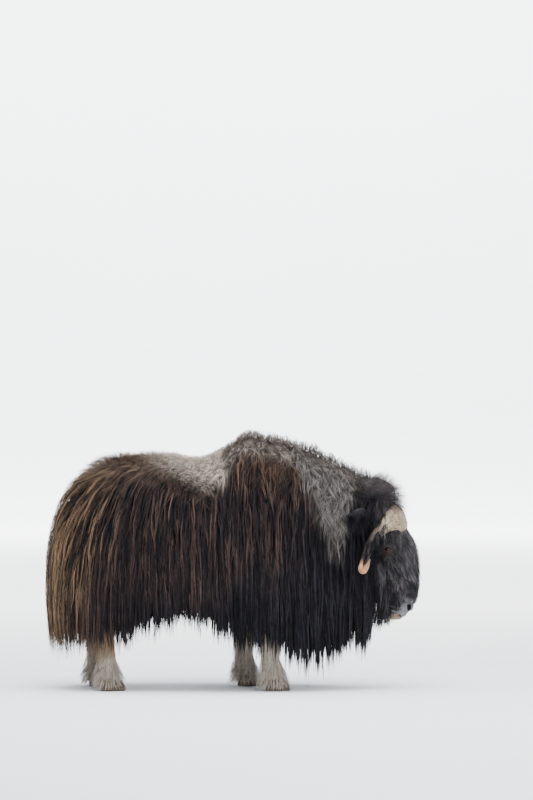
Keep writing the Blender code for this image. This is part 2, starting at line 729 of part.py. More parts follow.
def horn_part(side):
    """A horn from the middle of the boss, down beside the face and out and up to its tip."""
    name = "horn_left" if side > 0 else "horn_right"
    knots = curve_through(HORN_PATH, 2)
    path = [Vector((h[0], h[1] * side, h[2])) for h in knots]
    rings = []
    for k, (_, _, _, wide, deep) in enumerate(knots):
        way = (path[min(k + 1, len(path) - 1)] - path[max(k - 1, 0)]).normalized()
        share = k / (len(knots) - 1)
        out = Vector((1, 0, 0.35)).lerp(Vector((0.25, side, 0.15)), min(1.0, share * 3.2))
        out = out.lerp(Vector((-0.1, side * 0.9, -0.9)), smooth_step(0.60, 0.85, share))
        across = way.cross(out).normalized()
        out = across.cross(way).normalized()
        rings.append(round_loop(path[k], across, out, wide, deep, 10, 2.2))
    horn = loft(name, rings)
    cut_by_plane(horn, Vector((0, side * BOSS_SPLIT, 0)), Vector((0, -side, 0)))
    return horn


def ear_part(side):
    """A leaf-shaped ear with its cup open to the front."""
    name = "ear_left" if side > 0 else "ear_right"
    root, tip = (Vector((p.x, side * p.y, p.z)) for p in (EAR_ROOT, EAR_TIP))
    way = (tip - root).normalized()
    front = Vector((0.9, 0, -0.25))
    across = way.cross(front).normalized()
    front = across.cross(way).normalized()
    rings = []
    shape = ((0.0, 0.62, 0.9), (0.2, 0.92, 1.0), (0.45, 1.0, 0.92), (0.7, 0.82, 0.75), (0.9, 0.45, 0.50))
    for t, wide, deep in shape:
        rings.append(
            round_loop(root.lerp(tip, t), across, front, EAR_WIDTH / 2 * wide, EAR_THICK / 2 * deep, 12)
        )
    ear = loft(name, rings, root - way * 0.012, tip)
    cup = tube(
        "cup",
        [root.lerp(tip, t) + front * 0.014 for t in (0.30, 0.52, 0.74, 0.90)],
        [0.014, 0.0175, 0.0140, 0.0060],
        10,
        0.72,
        front,
    )
    cut_away(ear, [cup])
    return ear


def eye_part(side):
    """One eye's ball."""
    name = "eye_left" if side > 0 else "eye_right"
    return ball(name, Vector((EYE_PLACE.x, side * EYE_PLACE.y, EYE_PLACE.z)), (EYE_RADIUS,) * 3)


def turned(obj):
    """Turns a piece of the head to the animal's right."""
    there, back = Matrix.Translation(HEAD_PIVOT), Matrix.Translation(-HEAD_PIVOT)
    obj.data.transform(there @ Matrix.Rotation(HEAD_TURN, 4, "Z") @ back)
    return obj


def leg_part(foot):
    """A leg from inside the trunk down to the hoof's flat top."""
    shape = FORE_SHAPE if foot.name.startswith("fore") else HIND_SHAPE
    rings = []
    low = HOOF_HEIGHT + GAP
    for share, shift, long, wide in reversed(shape):
        z = low + (foot.top - low) * share
        centre = Vector((foot.x + foot.lean * share + shift, foot.y * (1 - 0.12 * share), z))
        rings.append(round_loop(centre, Vector((1, 0, 0)), Vector((0, 1, 0)), long, wide, 12, 2.1))
    leg = loft(foot.name, rings)
    spurs = []
    for side in (-1, 1):
        y = foot.y + side * DEWCLAW_SPREAD
        path = [Vector((foot.x - x, y, z)) for x, z in zip(DEWCLAW_BACK, (DEWCLAW_HIGH, DEWCLAW_LOW))]
        spurs.append(tube("dewclaw", path, [0.013, 0.008], 6, 1.0))
    join_all(leg, spurs)
    return leg


def hoof_part(foot):
    """Two claws with flat soles, joined under the leg by the band round their top, at their foot."""
    ahead, aside = Vector((1, 0, 0)), Vector((0, 1, 0))
    band = [round_loop(Vector((HOOF_AHEAD, 0, z)), ahead, aside, a, b, 12, 2.2) for z, a, b in BAND_RINGS]
    hoof = loft("hoof_" + foot.name.replace("leg", ""), band)
    claws = []
    for side in (-1, 1):
        rings = []
        for z, fore, rear, wide in CLAW_RINGS:
            loop = []
            for k in range(12):
                t = math.tau * k / 12
                c, s = math.cos(t), math.sin(t)
                long = CLAW_LENGTH * (fore if c > 0 else rear)
                x = 2 * HOOF_AHEAD + long * math.copysign(abs(c) ** 0.85, c)
                toe = 1 - CLAW_PINCH * max(0.0, c)
                y = CLAW_WIDTH * wide * s * toe - side * HOOF_AHEAD * max(0.0, c)
                loop.append(Vector((x, side * CLAW_SPREAD + y, z)))
            rings.append(loop)
        claws.append(loft("claw", rings))
    join_all(hoof, claws)
    hoof.location = (foot.x, foot.y, 0)
    return hoof


def hoof_part(foot):
    """Two claws with flat soles, joined under the leg by the band round their top."""
    name = "hoof_" + foot.name.replace("leg", "")
    centre = Vector((foot.x + 0.012, foot.y, 0))
    band = [
        round_loop(centre + Vector((0, 0, z)), Vector((1, 0, 0)), Vector((0, 1, 0)), a, b, 12, 2.2)
        for z, a, b in ((0.030, 0.058, 0.054), (HOOF_HEIGHT, 0.060, 0.056))
    ]
    hoof = loft(name, band)
    claws = []
    for side in (-1, 1):
        rings = []
        for z, fore, rear, wide in (
            (0.0, 1.00, 0.80, 0.96),
            (0.006, 1.04, 0.84, 1.02),
            (0.030, 0.95, 0.78, 0.98),
            (HOOF_HEIGHT - 0.004, 0.74, 0.66, 0.80),
        ):
            loop = []
            for k in range(12):
                t = math.tau * k / 12
                c, s = math.cos(t), math.sin(t)
                long = CLAW_LENGTH * (fore if c > 0 else rear)
                x = long * math.copysign(abs(c) ** 0.85, c) + 0.012
                toe = 1 - 0.30 * max(0.0, c)
                y = CLAW_WIDTH * wide * s * toe - side * 0.012 * max(0.0, c)
                loop.append(Vector((centre.x + x, centre.y + side * CLAW_SPREAD + y, z)))
            rings.append(loop)
        claws.append(loft("claw", rings))
    join_all(hoof, claws)
    return hoof


TAIL_LINE = ((-0.875, 1.000), (-0.918, 0.970), (-0.942, 0.920), (-0.952, 0.860))


def tail_part():
    """The short tail, hidden under the rump's hair."""
    path = [Vector((x, 0, z)) for x, z in TAIL_LINE]
    return tube("tail", path, [0.030, 0.030, 0.024, 0.012], 10, 0.8, Vector((1, 0, 0)))


# The named parts of the trunk, from where to where along it.
PARTS = (
    ("haunch", -2.0, HAUNCH_CUT),
    ("barrel", HAUNCH_CUT, SHOULDER_CUT),
    ("shoulder", SHOULDER_CUT, NECK_CUT),
    ("neck", NECK_CUT, 2.0),
)


def trunk_parts(whole):
    """Cuts the trunk's core across and down the middle into its named parts."""
    made = {}
    for name, low, high in PARTS:
        for side in (-1, 1):
            part = copied(whole, f"{name}_{'left' if side > 0 else 'right'}")
            if low > -1:
                cut_by_plane(part, Vector((low + GAP / 2, 0, 0)), Vector((-1, 0, 0)))
            if high < 1:
                cut_by_plane(part, Vector((high - GAP / 2, 0, 0)), Vector((1, 0, 0)))
            cut_by_plane(part, Vector((0, side * GAP / 2, 0)), Vector((0, -side, 0)))
            made[part.name] = part
    bpy.data.objects.remove(whole, do_unlink=True)
    return made


def coloured(objects, mat):
    """Gives objects their material and shades them smooth, with an edge where faces meet steeply."""
    for obj in objects:
        obj.data.materials.append(mat)
        obj.data.shade_smooth()
        obj.data.set_sharp_from_angle(angle=EDGE_ANGLE)


def main():
    """Builds the parts, cuts them clear of each other and stands them under one empty."""
    clear_scene()
    trunk = trunk_parts(trunk_mesh("trunk", [core_ring(u) for u in ring_places()]))
    head, head_pieces = head_part()
    for obj in (head, *head_pieces):
        turned(obj)
    horns = [turned(horn_part(side)) for side in (-1, 1)]
    ears = [turned(ear_part(side)) for side in (-1, 1)]
    eyes = [turned(eye_part(side)) for side in (-1, 1)]
    legs = [leg_part(foot) for foot in FEET]
    hooves = [hoof_part(foot) for foot in FEET]
    tail = tail_part()

    clear_of(head, eyes)
    for horn in horns:
        clear_of(horn, head_pieces, [head])
    for ear, horn in zip(ears, horns):
        clear_of(ear, [*head_pieces, horn], [head])
    for leg in legs:
        part = "haunch" if leg.name.startswith("hind") else "shoulder"
        side = leg.name.split("_")[1]
        clear_of(leg, [trunk[f"{part}_{side}"]])
    for name, low, high in PARTS:
        for side in (-1, 1):
            part = trunk[f"{name}_{'left' if side > 0 else 'right'}"]
            draw = random.Random(f"{SEED} {part.name}")
            join_all(part, coat_locks("lock", low, high, side, draw), "MANIFOLD")
    for k, side in enumerate(("right", "left")):
        clear_of(trunk[f"neck_{side}"], [*head_pieces, horns[k], ears[k]], [head])
        clear_of(trunk[f"haunch_{side}"], [tail])
    for piece in head_pieces:
        bpy.data.objects.remove(piece, do_unlink=True)
    for obj in (head, *horns, *ears, *legs, *trunk.values()):
        merge_flat(obj)

    coloured((*trunk.values(), head, *ears, tail), material("coat_wool", (0.060, 0.045, 0.035), 0.9))
    coloured(legs, material("short_hair", (0.52, 0.45, 0.36), 0.85))
    coloured(horns, material("horn_keratin", (0.45, 0.36, 0.25), 0.45))
    coloured(hooves, material("hoof_keratin", (0.05, 0.045, 0.04), 0.5))
    coloured(eyes, material("eye_gloss", (0.02, 0.012, 0.008), 0.15))
    muskox = bpy.data.objects.new("muskox", None)
    bpy.context.scene.collection.objects.link(muskox)
    for obj in (*trunk.values(), head, *ears, tail, *legs, *horns, *hooves, *eyes):
        obj.parent = muskox


main()
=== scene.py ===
"""Muskox, life size: skin, coat, horns, eyes, hooves and ears over the solids' frame."""

import math
from collections import namedtuple

import bmesh
import bpy
import numpy as np
from mathutils import Matrix, Vector


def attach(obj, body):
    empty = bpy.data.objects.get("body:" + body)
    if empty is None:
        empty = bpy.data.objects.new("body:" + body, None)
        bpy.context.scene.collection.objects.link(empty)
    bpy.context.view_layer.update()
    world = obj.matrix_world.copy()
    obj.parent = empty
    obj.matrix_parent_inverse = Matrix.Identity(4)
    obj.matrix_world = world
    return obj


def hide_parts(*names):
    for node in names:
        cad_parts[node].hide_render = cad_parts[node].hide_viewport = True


bl_info = {
    "name": "Muskox",
    "version": (1, 0, 0),
    "blender": (4, 5, 0),
    "location": "View3D > Sidebar > Muskox",
    "description": "Builds a life-size muskox with a long shaggy coat, one group of pieces at a time",
    "category": "Add Mesh",
}

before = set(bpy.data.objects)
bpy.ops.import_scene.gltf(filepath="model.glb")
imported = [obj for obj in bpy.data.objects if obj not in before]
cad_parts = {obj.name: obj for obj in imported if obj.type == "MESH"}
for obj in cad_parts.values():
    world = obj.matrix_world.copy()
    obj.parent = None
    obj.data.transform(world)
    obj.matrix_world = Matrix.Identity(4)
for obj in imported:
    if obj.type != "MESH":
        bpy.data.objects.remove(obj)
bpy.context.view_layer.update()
NODES = sorted(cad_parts)
SEED = 11
GOLDEN_SHARE, GOLDEN_ANGLE = 0.6180339887, 2.399963

# The body's stations, as in the solids: place, coat height, half width, height of the widest part,
# height of the skirt's tips, height of the belly and depth of the coat along the back.
Station = namedtuple("Station", "x back half wide skirt belly nap")
RUMP = Station(-0.60, 1.268, 0.345, 0.66, 0.235, 0.50, 0.034)
LOIN = Station(-0.36, 1.276, 0.380, 0.70, 0.300, 0.47, 0.032)
SADDLE = Station(-0.14, 1.266, 0.396, 0.72, 0.315, 0.45, 0.030)
GIRTH = Station(-0.03, 1.325, 0.403, 0.73, 0.240, 0.44, 0.045)
HUMP = Station(0.08, 1.415, 0.403, 0.74, 0.195, 0.43, 0.065)
WITHERS = Station(0.20, 1.395, 0.388, 0.75, 0.190, 0.42, 0.065)
BREAST = Station(0.36, 1.350, 0.338, 0.74, 0.105, 0.43, 0.060)
MANE = Station(0.50, 1.297, 0.280, 0.72, 0.105, 0.48, 0.060)
NAPE = Station(0.66, 1.222, 0.215, 0.72, 0.195, 0.56, 0.060)
STATIONS = (RUMP, LOIN, SADDLE, GIRTH, HUMP, WITHERS, BREAST, MANE, NAPE)

SIDE_DEPTH = 0.070
REAR_REACH, REAR_ARC = 0.400, 0.55
FRONT_REACH, FRONT_ARC = 0.110, 0.26
SIDE_LENGTH = NAPE.x - RUMP.x
AROUND = REAR_ARC + SIDE_LENGTH + FRONT_ARC
REAR_SKIRT, REAR_WIDE = 0.210, 0.62
FRONT_SKIRT, FRONT_WIDE = 0.320, 0.74
DOME_POWER, BELLY_POWER, PLAN_POWER = 2.15, 2.5, 2.3
HANG_IN = 0.95

HEAD_TURN = math.radians(-10)
HEAD_PIVOT = Vector((0.70, 0, 0))
TURN = Matrix.Translation(HEAD_PIVOT) @ Matrix.Rotation(HEAD_TURN, 4, "Z") @ Matrix.Translation(-HEAD_PIVOT)
EYE_RADIUS = 0.0190
NOSTRIL, NOSTRIL_SLANT = (0.053, 0.446), math.radians(44)
NOSTRIL_RADII, NOSTRIL_AHEAD = (0.024, 0.0135, 0.0225), 0.008
EYE_PLACE = Vector((0.862, 0.112, 0.757))

# The head, straight ahead: height, back of the head, front of the face and half width.
Slice = namedtuple("Slice", "z back front half power")
HEAD_SLICES = (
    Slice(1.148, 0.715, 0.835, 0.060, 2.0),
    Slice(1.125, 0.685, 0.876, 0.105, 2.1),
    Slice(1.078, 0.668, 0.900, 0.136, 2.2),
    Slice(1.020, 0.665, 0.898, 0.146, 2.3),
    Slice(0.970, 0.668, 0.900, 0.144, 2.3),
    Slice(0.915, 0.675, 0.925, 0.136, 2.3),
    Slice(0.855, 0.680, 0.955, 0.128, 2.3),
    Slice(0.800, 0.690, 0.988, 0.123, 2.3),
    Slice(0.745, 0.700, 1.008, 0.118, 2.3),
    Slice(0.680, 0.720, 1.017, 0.109, 2.3),
    Slice(0.610, 0.745, 1.020, 0.098, 2.3),
    Slice(0.550, 0.770, 1.017, 0.090, 2.4),
    Slice(0.500, 0.785, 1.005, 0.087, 2.5),
    Slice(0.458, 0.793, 0.986, 0.085, 2.5),
    Slice(0.430, 0.796, 0.964, 0.078, 2.4),
    Slice(0.410, 0.798, 0.932, 0.064, 2.3),
    Slice(0.392, 0.801, 0.894, 0.047, 2.2),
    Slice(0.378, 0.808, 0.864, 0.028, 2.0),
)
Horn = namedtuple("Horn", "x y z wide deep")
HORN_PATH = (
    Horn(0.903, 0.004, 0.910, 0.080, 0.035),
    Horn(0.899, 0.045, 0.914, 0.080, 0.037),
    Horn(0.886, 0.088, 0.912, 0.067, 0.037),
    Horn(0.862, 0.124, 0.892, 0.043, 0.034),
    Horn(0.828, 0.150, 0.862, 0.031, 0.030),
    Horn(0.789, 0.174, 0.812, 0.025, 0.026),
    Horn(0.762, 0.196, 0.748, 0.022, 0.023),
    Horn(0.745, 0.218, 0.690, 0.021, 0.021),
    Horn(0.738, 0.246, 0.652, 0.020, 0.019),
    Horn(0.752, 0.276, 0.646, 0.016, 0.015),
    Horn(0.773, 0.296, 0.669, 0.011, 0.011),
    Horn(0.790, 0.302, 0.708, 0.003, 0.003),
)
EAR_ROOT, EAR_TIP = Vector((0.735, 0.128, 0.950)), Vector((0.690, 0.262, 0.945))
EAR_WIDTH, EAR_THICK = 0.060, 0.034

Foot = namedtuple("Foot", "name x y top lean")
FEET = (
    Foot("foreleg_right", 0.215, -0.170, 0.60, -0.030),
    Foot("foreleg_left", 0.062, 0.170, 0.60, 0.010),
    Foot("hindleg_right", -0.665, -0.165, 0.62, 0.040),
    Foot("hindleg_left", -0.745, 0.165, 0.62, 0.060),
)
HOOF_HEIGHT, CLAW_LENGTH, CLAW_WIDTH, CLAW_SPREAD = 0.058, 0.070, 0.034, 0.032
FORE_SHAPE = (
    (1.00, 0.00, 0.115, 0.085),
    (0.80, 0.00, 0.095, 0.075),
    (0.62, 0.00, 0.075, 0.066),
    (0.50, 0.01, 0.066, 0.060),
    (0.40, 0.01, 0.062, 0.057),
    (0.30, 0.00, 0.054, 0.050),
    (0.22, 0.00, 0.052, 0.050),
    (0.14, 0.00, 0.060, 0.056),
    (0.06, 0.005, 0.062, 0.058),
    (0.00, 0.010, 0.058, 0.054),
)
HIND_SHAPE = (
    (1.00, 0.02, 0.150, 0.095),
    (0.80, 0.01, 0.118, 0.082),
    (0.64, -0.01, 0.086, 0.066),
    (0.52, -0.035, 0.066, 0.054),
    (0.42, -0.035, 0.058, 0.050),
    (0.30, -0.020, 0.050, 0.046),
    (0.22, -0.012, 0.050, 0.047),
    (0.14, -0.005, 0.058, 0.054),
    (0.06, 0.000, 0.061, 0.056),
    (0.00, 0.006, 0.057, 0.053),
)


def srgb(r, g, b):
    """A colour as the screen shows it, 0 to 255, made linear."""
    return tuple(((c / 255 + 0.055) / 1.055) ** 2.4 if c > 10 else c / 255 / 12.92 for c in (r, g, b))


def step(low, high, value):
    t = np.clip((np.asarray(value, float) - low) / (high - low), 0, 1)
    return t * t * (3 - 2 * t)


def hermite(a, b, slope_a, slope_b, t):
    """From a to b as t goes from 0 to 1, with a slope at each end."""
    return (a * (2 * t**3 - 3 * t**2 + 1) + slope_a * (t**3 - 2 * t**2 + t) + b * (3 * t**2 - 2 * t**3)
            + slope_b * (t**3 - t**2))


def along(field):
    """A smooth curve through one field of the stations, as a function of x."""
    xs = np.array([s.x for s in STATIONS])
    ys = np.array([getattr(s, field) for s in STATIONS])
    slope = np.gradient(ys, xs)

    def read(x):
        x = np.clip(np.asarray(x, float), xs[0], xs[-1])
        i = np.clip(np.searchsorted(xs, x) - 1, 0, len(xs) - 2)
        h = xs[i + 1] - xs[i]
        return hermite(ys[i], ys[i + 1], slope[i] * h, slope[i + 1] * h, (x - xs[i]) / h)

    return read


BACK, HALF, WIDE, SKIRT, BELLY, NAP = (
    along(field) for field in ("back", "half", "wide", "skirt", "belly", "nap")
)


def polar(reach_a, reach_b, angle):
    """The radius of a rounded plan outline that reaches reach_a at angle 0 and reach_b at a right angle."""
    return (
        (abs(math.cos(angle)) / reach_a) ** PLAN_POWER
        + (abs(math.sin(angle)) / reach_b) ** PLAN_POWER
    ) ** (-1 / PLAN_POWER)


def section(u):
    """The coat's section at u, in metres round one side from the middle of the rear to the throat."""
    if u < REAR_ARC:
        angle = u / REAR_ARC * math.pi / 2
        x, way = RUMP.x, (-math.cos(angle), math.sin(angle))
        radius = polar(REAR_REACH, RUMP.half, angle)
        turn, wide, skirt = math.cos(angle) ** 2, REAR_WIDE, REAR_SKIRT
    elif u <= REAR_ARC + SIDE_LENGTH:
        x, way = RUMP.x + u - REAR_ARC, (0.0, 1.0)
        radius, turn, wide, skirt = float(HALF(x)), 0.0, 0.0, 0.0
    else:
        angle = min(1.0, (u - REAR_ARC - SIDE_LENGTH) / FRONT_ARC) * math.pi / 2
        x, way = NAPE.x, (math.sin(angle), math.cos(angle))
        radius = polar(NAPE.half, FRONT_REACH, angle)
        turn, wide, skirt = math.sin(angle) ** 2, FRONT_WIDE, FRONT_SKIRT
    wide = float(WIDE(x)) * (1 - turn) + wide * turn
    skirt = float(SKIRT(x)) * (1 - turn) + skirt * turn
    return x, way, radius, float(BACK(x)), wide, skirt


class CoatMap:
    """The lie of the trunk's coat as tables over u round the body and f from the ridge to the tips."""

    def __init__(self, across=320, down=96):
        self.across, self.down = across, down
        self.x, self.way = np.zeros(across), np.zeros((across, 2))
        self.length, self.widest = np.zeros(across), np.zeros(across)
        self.r, self.z = np.zeros((across, down + 1)), np.zeros((across, down + 1))
        self.depth = np.zeros((across, down + 1))
        a = np.linspace(0, math.pi / 2, 49)
        t = np.linspace(0, 1, 25)[1:]
        shares = np.linspace(0, 1, down + 1)
        for i, u in enumerate(np.linspace(0, AROUND, across)):
            x, way, radius, back, wide, skirt = section(u)
            r = np.concatenate([radius * np.sin(a) ** (2 / DOME_POWER), radius * (1 - (1 - HANG_IN) * t * t)])
            z = np.concatenate([wide + (back - wide) * np.cos(a) ** (2 / DOME_POWER),
                                wide + (skirt - wide) * t])
            run = np.concatenate([[0], np.cumsum(np.hypot(np.diff(r), np.diff(z)))])
            even = shares * run[-1]
            self.x[i], self.way[i] = x, way
            self.length[i], self.widest[i] = run[-1], run[len(a) - 1] / run[-1]
            self.r[i], self.z[i] = np.interp(even, run, r), np.interp(even, run, z)
            nap = float(NAP(x))
            self.depth[i] = nap + (SIDE_DEPTH - nap) * step(0.10, 0.36, shares)
        dr, dz = np.gradient(self.r, axis=1), np.gradient(self.z, axis=1)
        size = np.hypot(dr, dz)
        self.out_r, self.out_z = -dz / size, dr / size

    def read(self, table, u, f=None):
        at = np.clip(u / AROUND, 0, 1) * (self.across - 1)
        i = np.minimum(at.astype(int), self.across - 2)
        p = at - i
        if f is None:
            if table.ndim == 2:
                p = p[..., None]
            return table[i] * (1 - p) + table[i + 1] * p
        down = np.clip(f, 0, 1) * self.down
        j = np.minimum(down.astype(int), self.down - 1)
        q = down - j
        top = table[i, j] * (1 - p) + table[i + 1, j] * p
        low = table[i, j + 1] * (1 - p) + table[i + 1, j + 1] * p
        return top * (1 - q) + low * q

    def place(self, u, f, d, side):
        """Points and ways out, on the core at d = 0 and on the coat's outside at d = 1."""
        u = np.clip(u, 0, AROUND)
        r, z = self.read(self.r, u, f), self.read(self.z, u, f)
        out_r, out_z = self.read(self.out_r, u, f), self.read(self.out_z, u, f)
        inset = self.read(self.depth, u, f) * (1 - d)
        r, z = r - out_r * inset, z - out_z * inset
        z = z - np.maximum(f - 1, 0) * self.read(self.length, u)
        way = self.read(self.way, u)
        way = way / np.linalg.norm(way, axis=-1, keepdims=True)
        side = np.broadcast_to(side, r.shape)
        point = np.stack([self.read(self.x, u) + way[..., 0] * r, side * way[..., 1] * r, z], -1)
        out = np.stack([way[..., 0] * out_r, side * way[..., 1] * out_r, out_z], -1)
        return point, out


COAT = CoatMap()


# Small helpers

def blend(a, b, share):
    """Colours or points from a to b."""
    a, b, share = np.asarray(a, float), np.asarray(b, float), np.asarray(share, float)
    return a + (b - a) * share[..., None]


def window(value, a, b, c, d):
    """1 between b and c, smoothly down to 0 at a and d."""
    return step(a, b, value) * (1 - step(c, d, value))


def unit(v):
    return v / np.maximum(np.linalg.norm(v, axis=-1, keepdims=True), 1e-9)


def turned(points):
    """Points of the head as modelled straight ahead, turned to the animal's right."""
    t = np.array(TURN)
    return points @ t[:3, :3].T + t[:3, 3]


def turned_way(ways):
    return ways @ np.array(TURN)[:3, :3].T


def curve_through(knots, steps):
    """Points of a smooth curve through rows of numbers, evenly many between each two."""
    knots = np.array(knots, float)
    slopes = np.gradient(knots, axis=0)
    t = np.arange(steps)[:, None] / steps
    parts = [hermite(a, b, m, n, t) for a, b, m, n in zip(knots, knots[1:], slopes, slopes[1:])]
    return np.concatenate(parts + [knots[-1:]])


def new_object(name, bm, body="root", smooth=True):
    mesh = bpy.data.meshes.new(name)
    bm.to_mesh(mesh)
    bm.free()
    return as_piece(name, mesh, body, smooth)


def as_piece(name, mesh, body="root", smooth=True):
    obj = bpy.data.objects.new(name, mesh)
    bpy.context.scene.collection.objects.link(obj)
    if smooth:
        mesh.polygons.foreach_set("use_smooth", np.ones(len(mesh.polygons), bool))
    if body:
        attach(obj, body)
    return obj


def skinned(bm, rings):
    """Lays a grid over closed rings of points, rows by columns, and merges its seam and its poles."""
    rings = np.concatenate([rings, rings[:, :1]], axis=1)
    return draped(bm, rings)


def draped(bm, rows):
    """Lays a grid over rows of points and merges what coincides."""
    n, m = rows.shape[:2]
    verts = bmesh.ops.create_grid(bm, x_segments=n - 1, y_segments=m - 1, size=1.0)["verts"]
    for v in verts:
        i, j = round((v.co.x + 1) / 2 * (n - 1)), round((v.co.y + 1) / 2 * (m - 1))
        v.co = rows[i, j]
    bmesh.ops.remove_doubles(bm, verts=verts, dist=1e-6)
    return verts


def loop_points(centre, across, upward, a, b, count, power=2.0):
    """A superellipse of points in the plane of two directions."""
    t = np.arange(count) / count * math.tau
    c, s = np.cos(t), np.sin(t)
    x = a * np.sign(c) * np.abs(c) ** (2 / power)
    y = b * np.sign(s) * np.abs(s) ** (2 / power)
    return np.asarray(centre) + x[:, None] * np.asarray(across) + y[:, None] * np.asarray(upward)


def with_poles(rings, low=None, high=None):
    """Rings with a pole at each end, so that the loft closes."""
    low = rings[0].mean(0) if low is None else low
    high = rings[-1].mean(0) if high is None else high
    n = rings.shape[1]
    return np.concatenate([[np.tile(low, (n, 1))], rings, [np.tile(high, (n, 1))]])


def tube_rings(path, radii, count, flat=1.0, out=(0, 1, 0)):
    path, out = np.asarray(path, float), np.asarray(out, float)
    ways = unit(np.gradient(path, axis=0))
    rings = []
    for p, way, r in zip(path, ways, np.broadcast_to(radii, (len(path),))):
        across = unit(np.cross(way, out))
        rings.append(loop_points(p, across, unit(np.cross(across, way)), r, r * flat, count))
    return with_poles(np.array(rings))


def closed_loft(name, rings):
    bm = bmesh.new()
    skinned(bm, rings)
    bmesh.ops.recalc_face_normals(bm, faces=bm.faces)
    return new_object(name, bm, body=None)


def ball(name, place, radii, turn=None, level=3):
    bm = bmesh.new()
    bmesh.ops.create_icosphere(bm, subdivisions=level, radius=1.0)
    frame = Matrix.Translation(place) @ (turn.to_4x4() if turn else Matrix()) @ Matrix.Diagonal((*radii, 1))
    bmesh.ops.transform(bm, matrix=frame, verts=bm.verts)
    return new_object(name, bm, body=None)


def apply_modifiers(obj):
    graph = bpy.context.evaluated_depsgraph_get()
    mesh = bpy.data.meshes.new_from_object(obj.evaluated_get(graph))
    obj.modifiers.clear()
    old, obj.data = obj.data, mesh
    bpy.data.meshes.remove(old)


def combine(obj, pieces, operation, solver="MANIFOLD"):
    """Joins pieces to a closed object or cuts them away from it, and removes the pieces."""
    group = bpy.data.collections.new("pieces")
    for piece in pieces:
        group.objects.link(piece)
    boolean = obj.modifiers.new("combine", "BOOLEAN")
    boolean.operation, boolean.solver = operation, solver
    boolean.operand_type, boolean.collection = "COLLECTION", group
    apply_modifiers(obj)
    for piece in pieces:
        bpy.data.objects.remove(piece, do_unlink=True)
    bpy.data.collections.remove(group)
    if not len(obj.data.polygons):
        raise RuntimeError(f"{obj.name} is empty after joining its pieces")


def coords(mesh, what="vertices", field="co", width=3):
    data = getattr(mesh, what)
    out = np.empty(len(data) * width, np.float32)
    data.foreach_get(field, out)
    return out.reshape(-1, width).astype(float)


def paint(mesh, name, colours):
    """Writes a colour for each vertex."""
    layer = mesh.color_attributes.new(name, "FLOAT_COLOR", "POINT")
    rgba = np.ones((len(mesh.vertices), 4), np.float32)
    rgba[:, :3] = colours
    layer.data.foreach_set("color", rgba.ravel())


def store(mesh, name, values):
    """Writes a number or a vector for each vertex, for a material to read."""
    kind, key = ("FLOAT", "value") if values.ndim == 1 else ("FLOAT_VECTOR", "vector")
    layer = mesh.attributes.new(name, kind, "POINT")
    layer.data.foreach_set(key, values.astype(np.float32).ravel())


def ripple(points, scale, seed=0.0):
    """A smooth pattern of waves in space, about -1 to 1."""
    draw = np.random.default_rng(int(seed * 10) + 5)
    total = np.zeros(points.shape[:-1])
    for octave in range(5):
        way = unit(draw.normal(size=3)) * math.tau / scale * (1 + 0.45 * octave)
        total += np.sin(points @ way + draw.uniform(0, math.tau)) / (1 + 0.35 * octave)
    return total / 2.2


# Markings, the same on the skin and on the coat

def zone_picker(points, streak, tones):
    """A function that gives a zone's colour at the points, from its dark to its light hair by the streak."""
    def pair(name):
        dark, light = tones[name]
        return blend(np.broadcast_to(dark, points.shape), np.broadcast_to(light, points.shape), streak)

    return pair


def trunk_tone(points, streak, tones):
    """The colour of the body at a place. Streak 0 to 1 picks between a zone's dark and light hair."""
    x, z = points[..., 0], points[..., 2]
    drop = BACK(x) - z
    rough = 0.030 * ripple(points * (1, 0.6, 1), 0.16, 1) + 0.014 * ripple(points, 0.05, 2)
    x, drop = x + rough, drop + 0.6 * rough
    pair = zone_picker(points, streak, tones)
    colour = pair("flank")
    colour = blend(colour, pair("mane"), step(0.15, 0.45, x) * step(0.30, 0.55, drop))
    colour = blend(colour, pair("mane"), step(0.60, 0.95, drop) * step(-0.75, -0.45, x))
    colour = blend(colour, pair("mane"), step(0.50, 0.66, x) * step(0.05, 0.30, drop))
    colour = blend(colour, pair("rump"), 1 - step(-0.93, -0.56, x + 0.25 * (drop - 0.4)))
    colour = blend(colour, pair("rump_top"), (1 - step(-0.40, -0.22, x)) * (1 - step(0.06, 0.17, drop)))
    colour = blend(colour, pair("shoulder"),
                   window(x, -0.06, 0.06, 0.30, 0.48) * (1 - step(0.24, 0.42, drop)))
    low = np.interp(x, (-0.46, -0.30, -0.15, -0.05), (0.05, 0.11, 0.175, 0.215))
    saddle = window(x, -0.54, -0.34, -0.06, 0.02) * (1 - step(-0.10, 0.055, drop - low))
    colour = blend(colour, pair("saddle"), saddle)
    ridge = step(-0.07, 0.02, x) * (1 - step(0.09 + 0.03 * step(0.3, 0.5, x), 0.19, drop))
    colour = blend(colour, pair("hump"), ridge * (1 - step(0.56, 0.70, x)))
    low_edge, high_edge = 0.405 + 0.354 * (1.08 - z), 0.659 - 0.246 * (1.037 - z)
    cape = step(-0.035, 0.035, x - low_edge) * (1 - step(-0.04, 0.03, x - high_edge)) * step(0.64, 0.76, z)
    colour = blend(colour, pair("cape"), cape * step(0.03, 0.14, drop))
    return colour


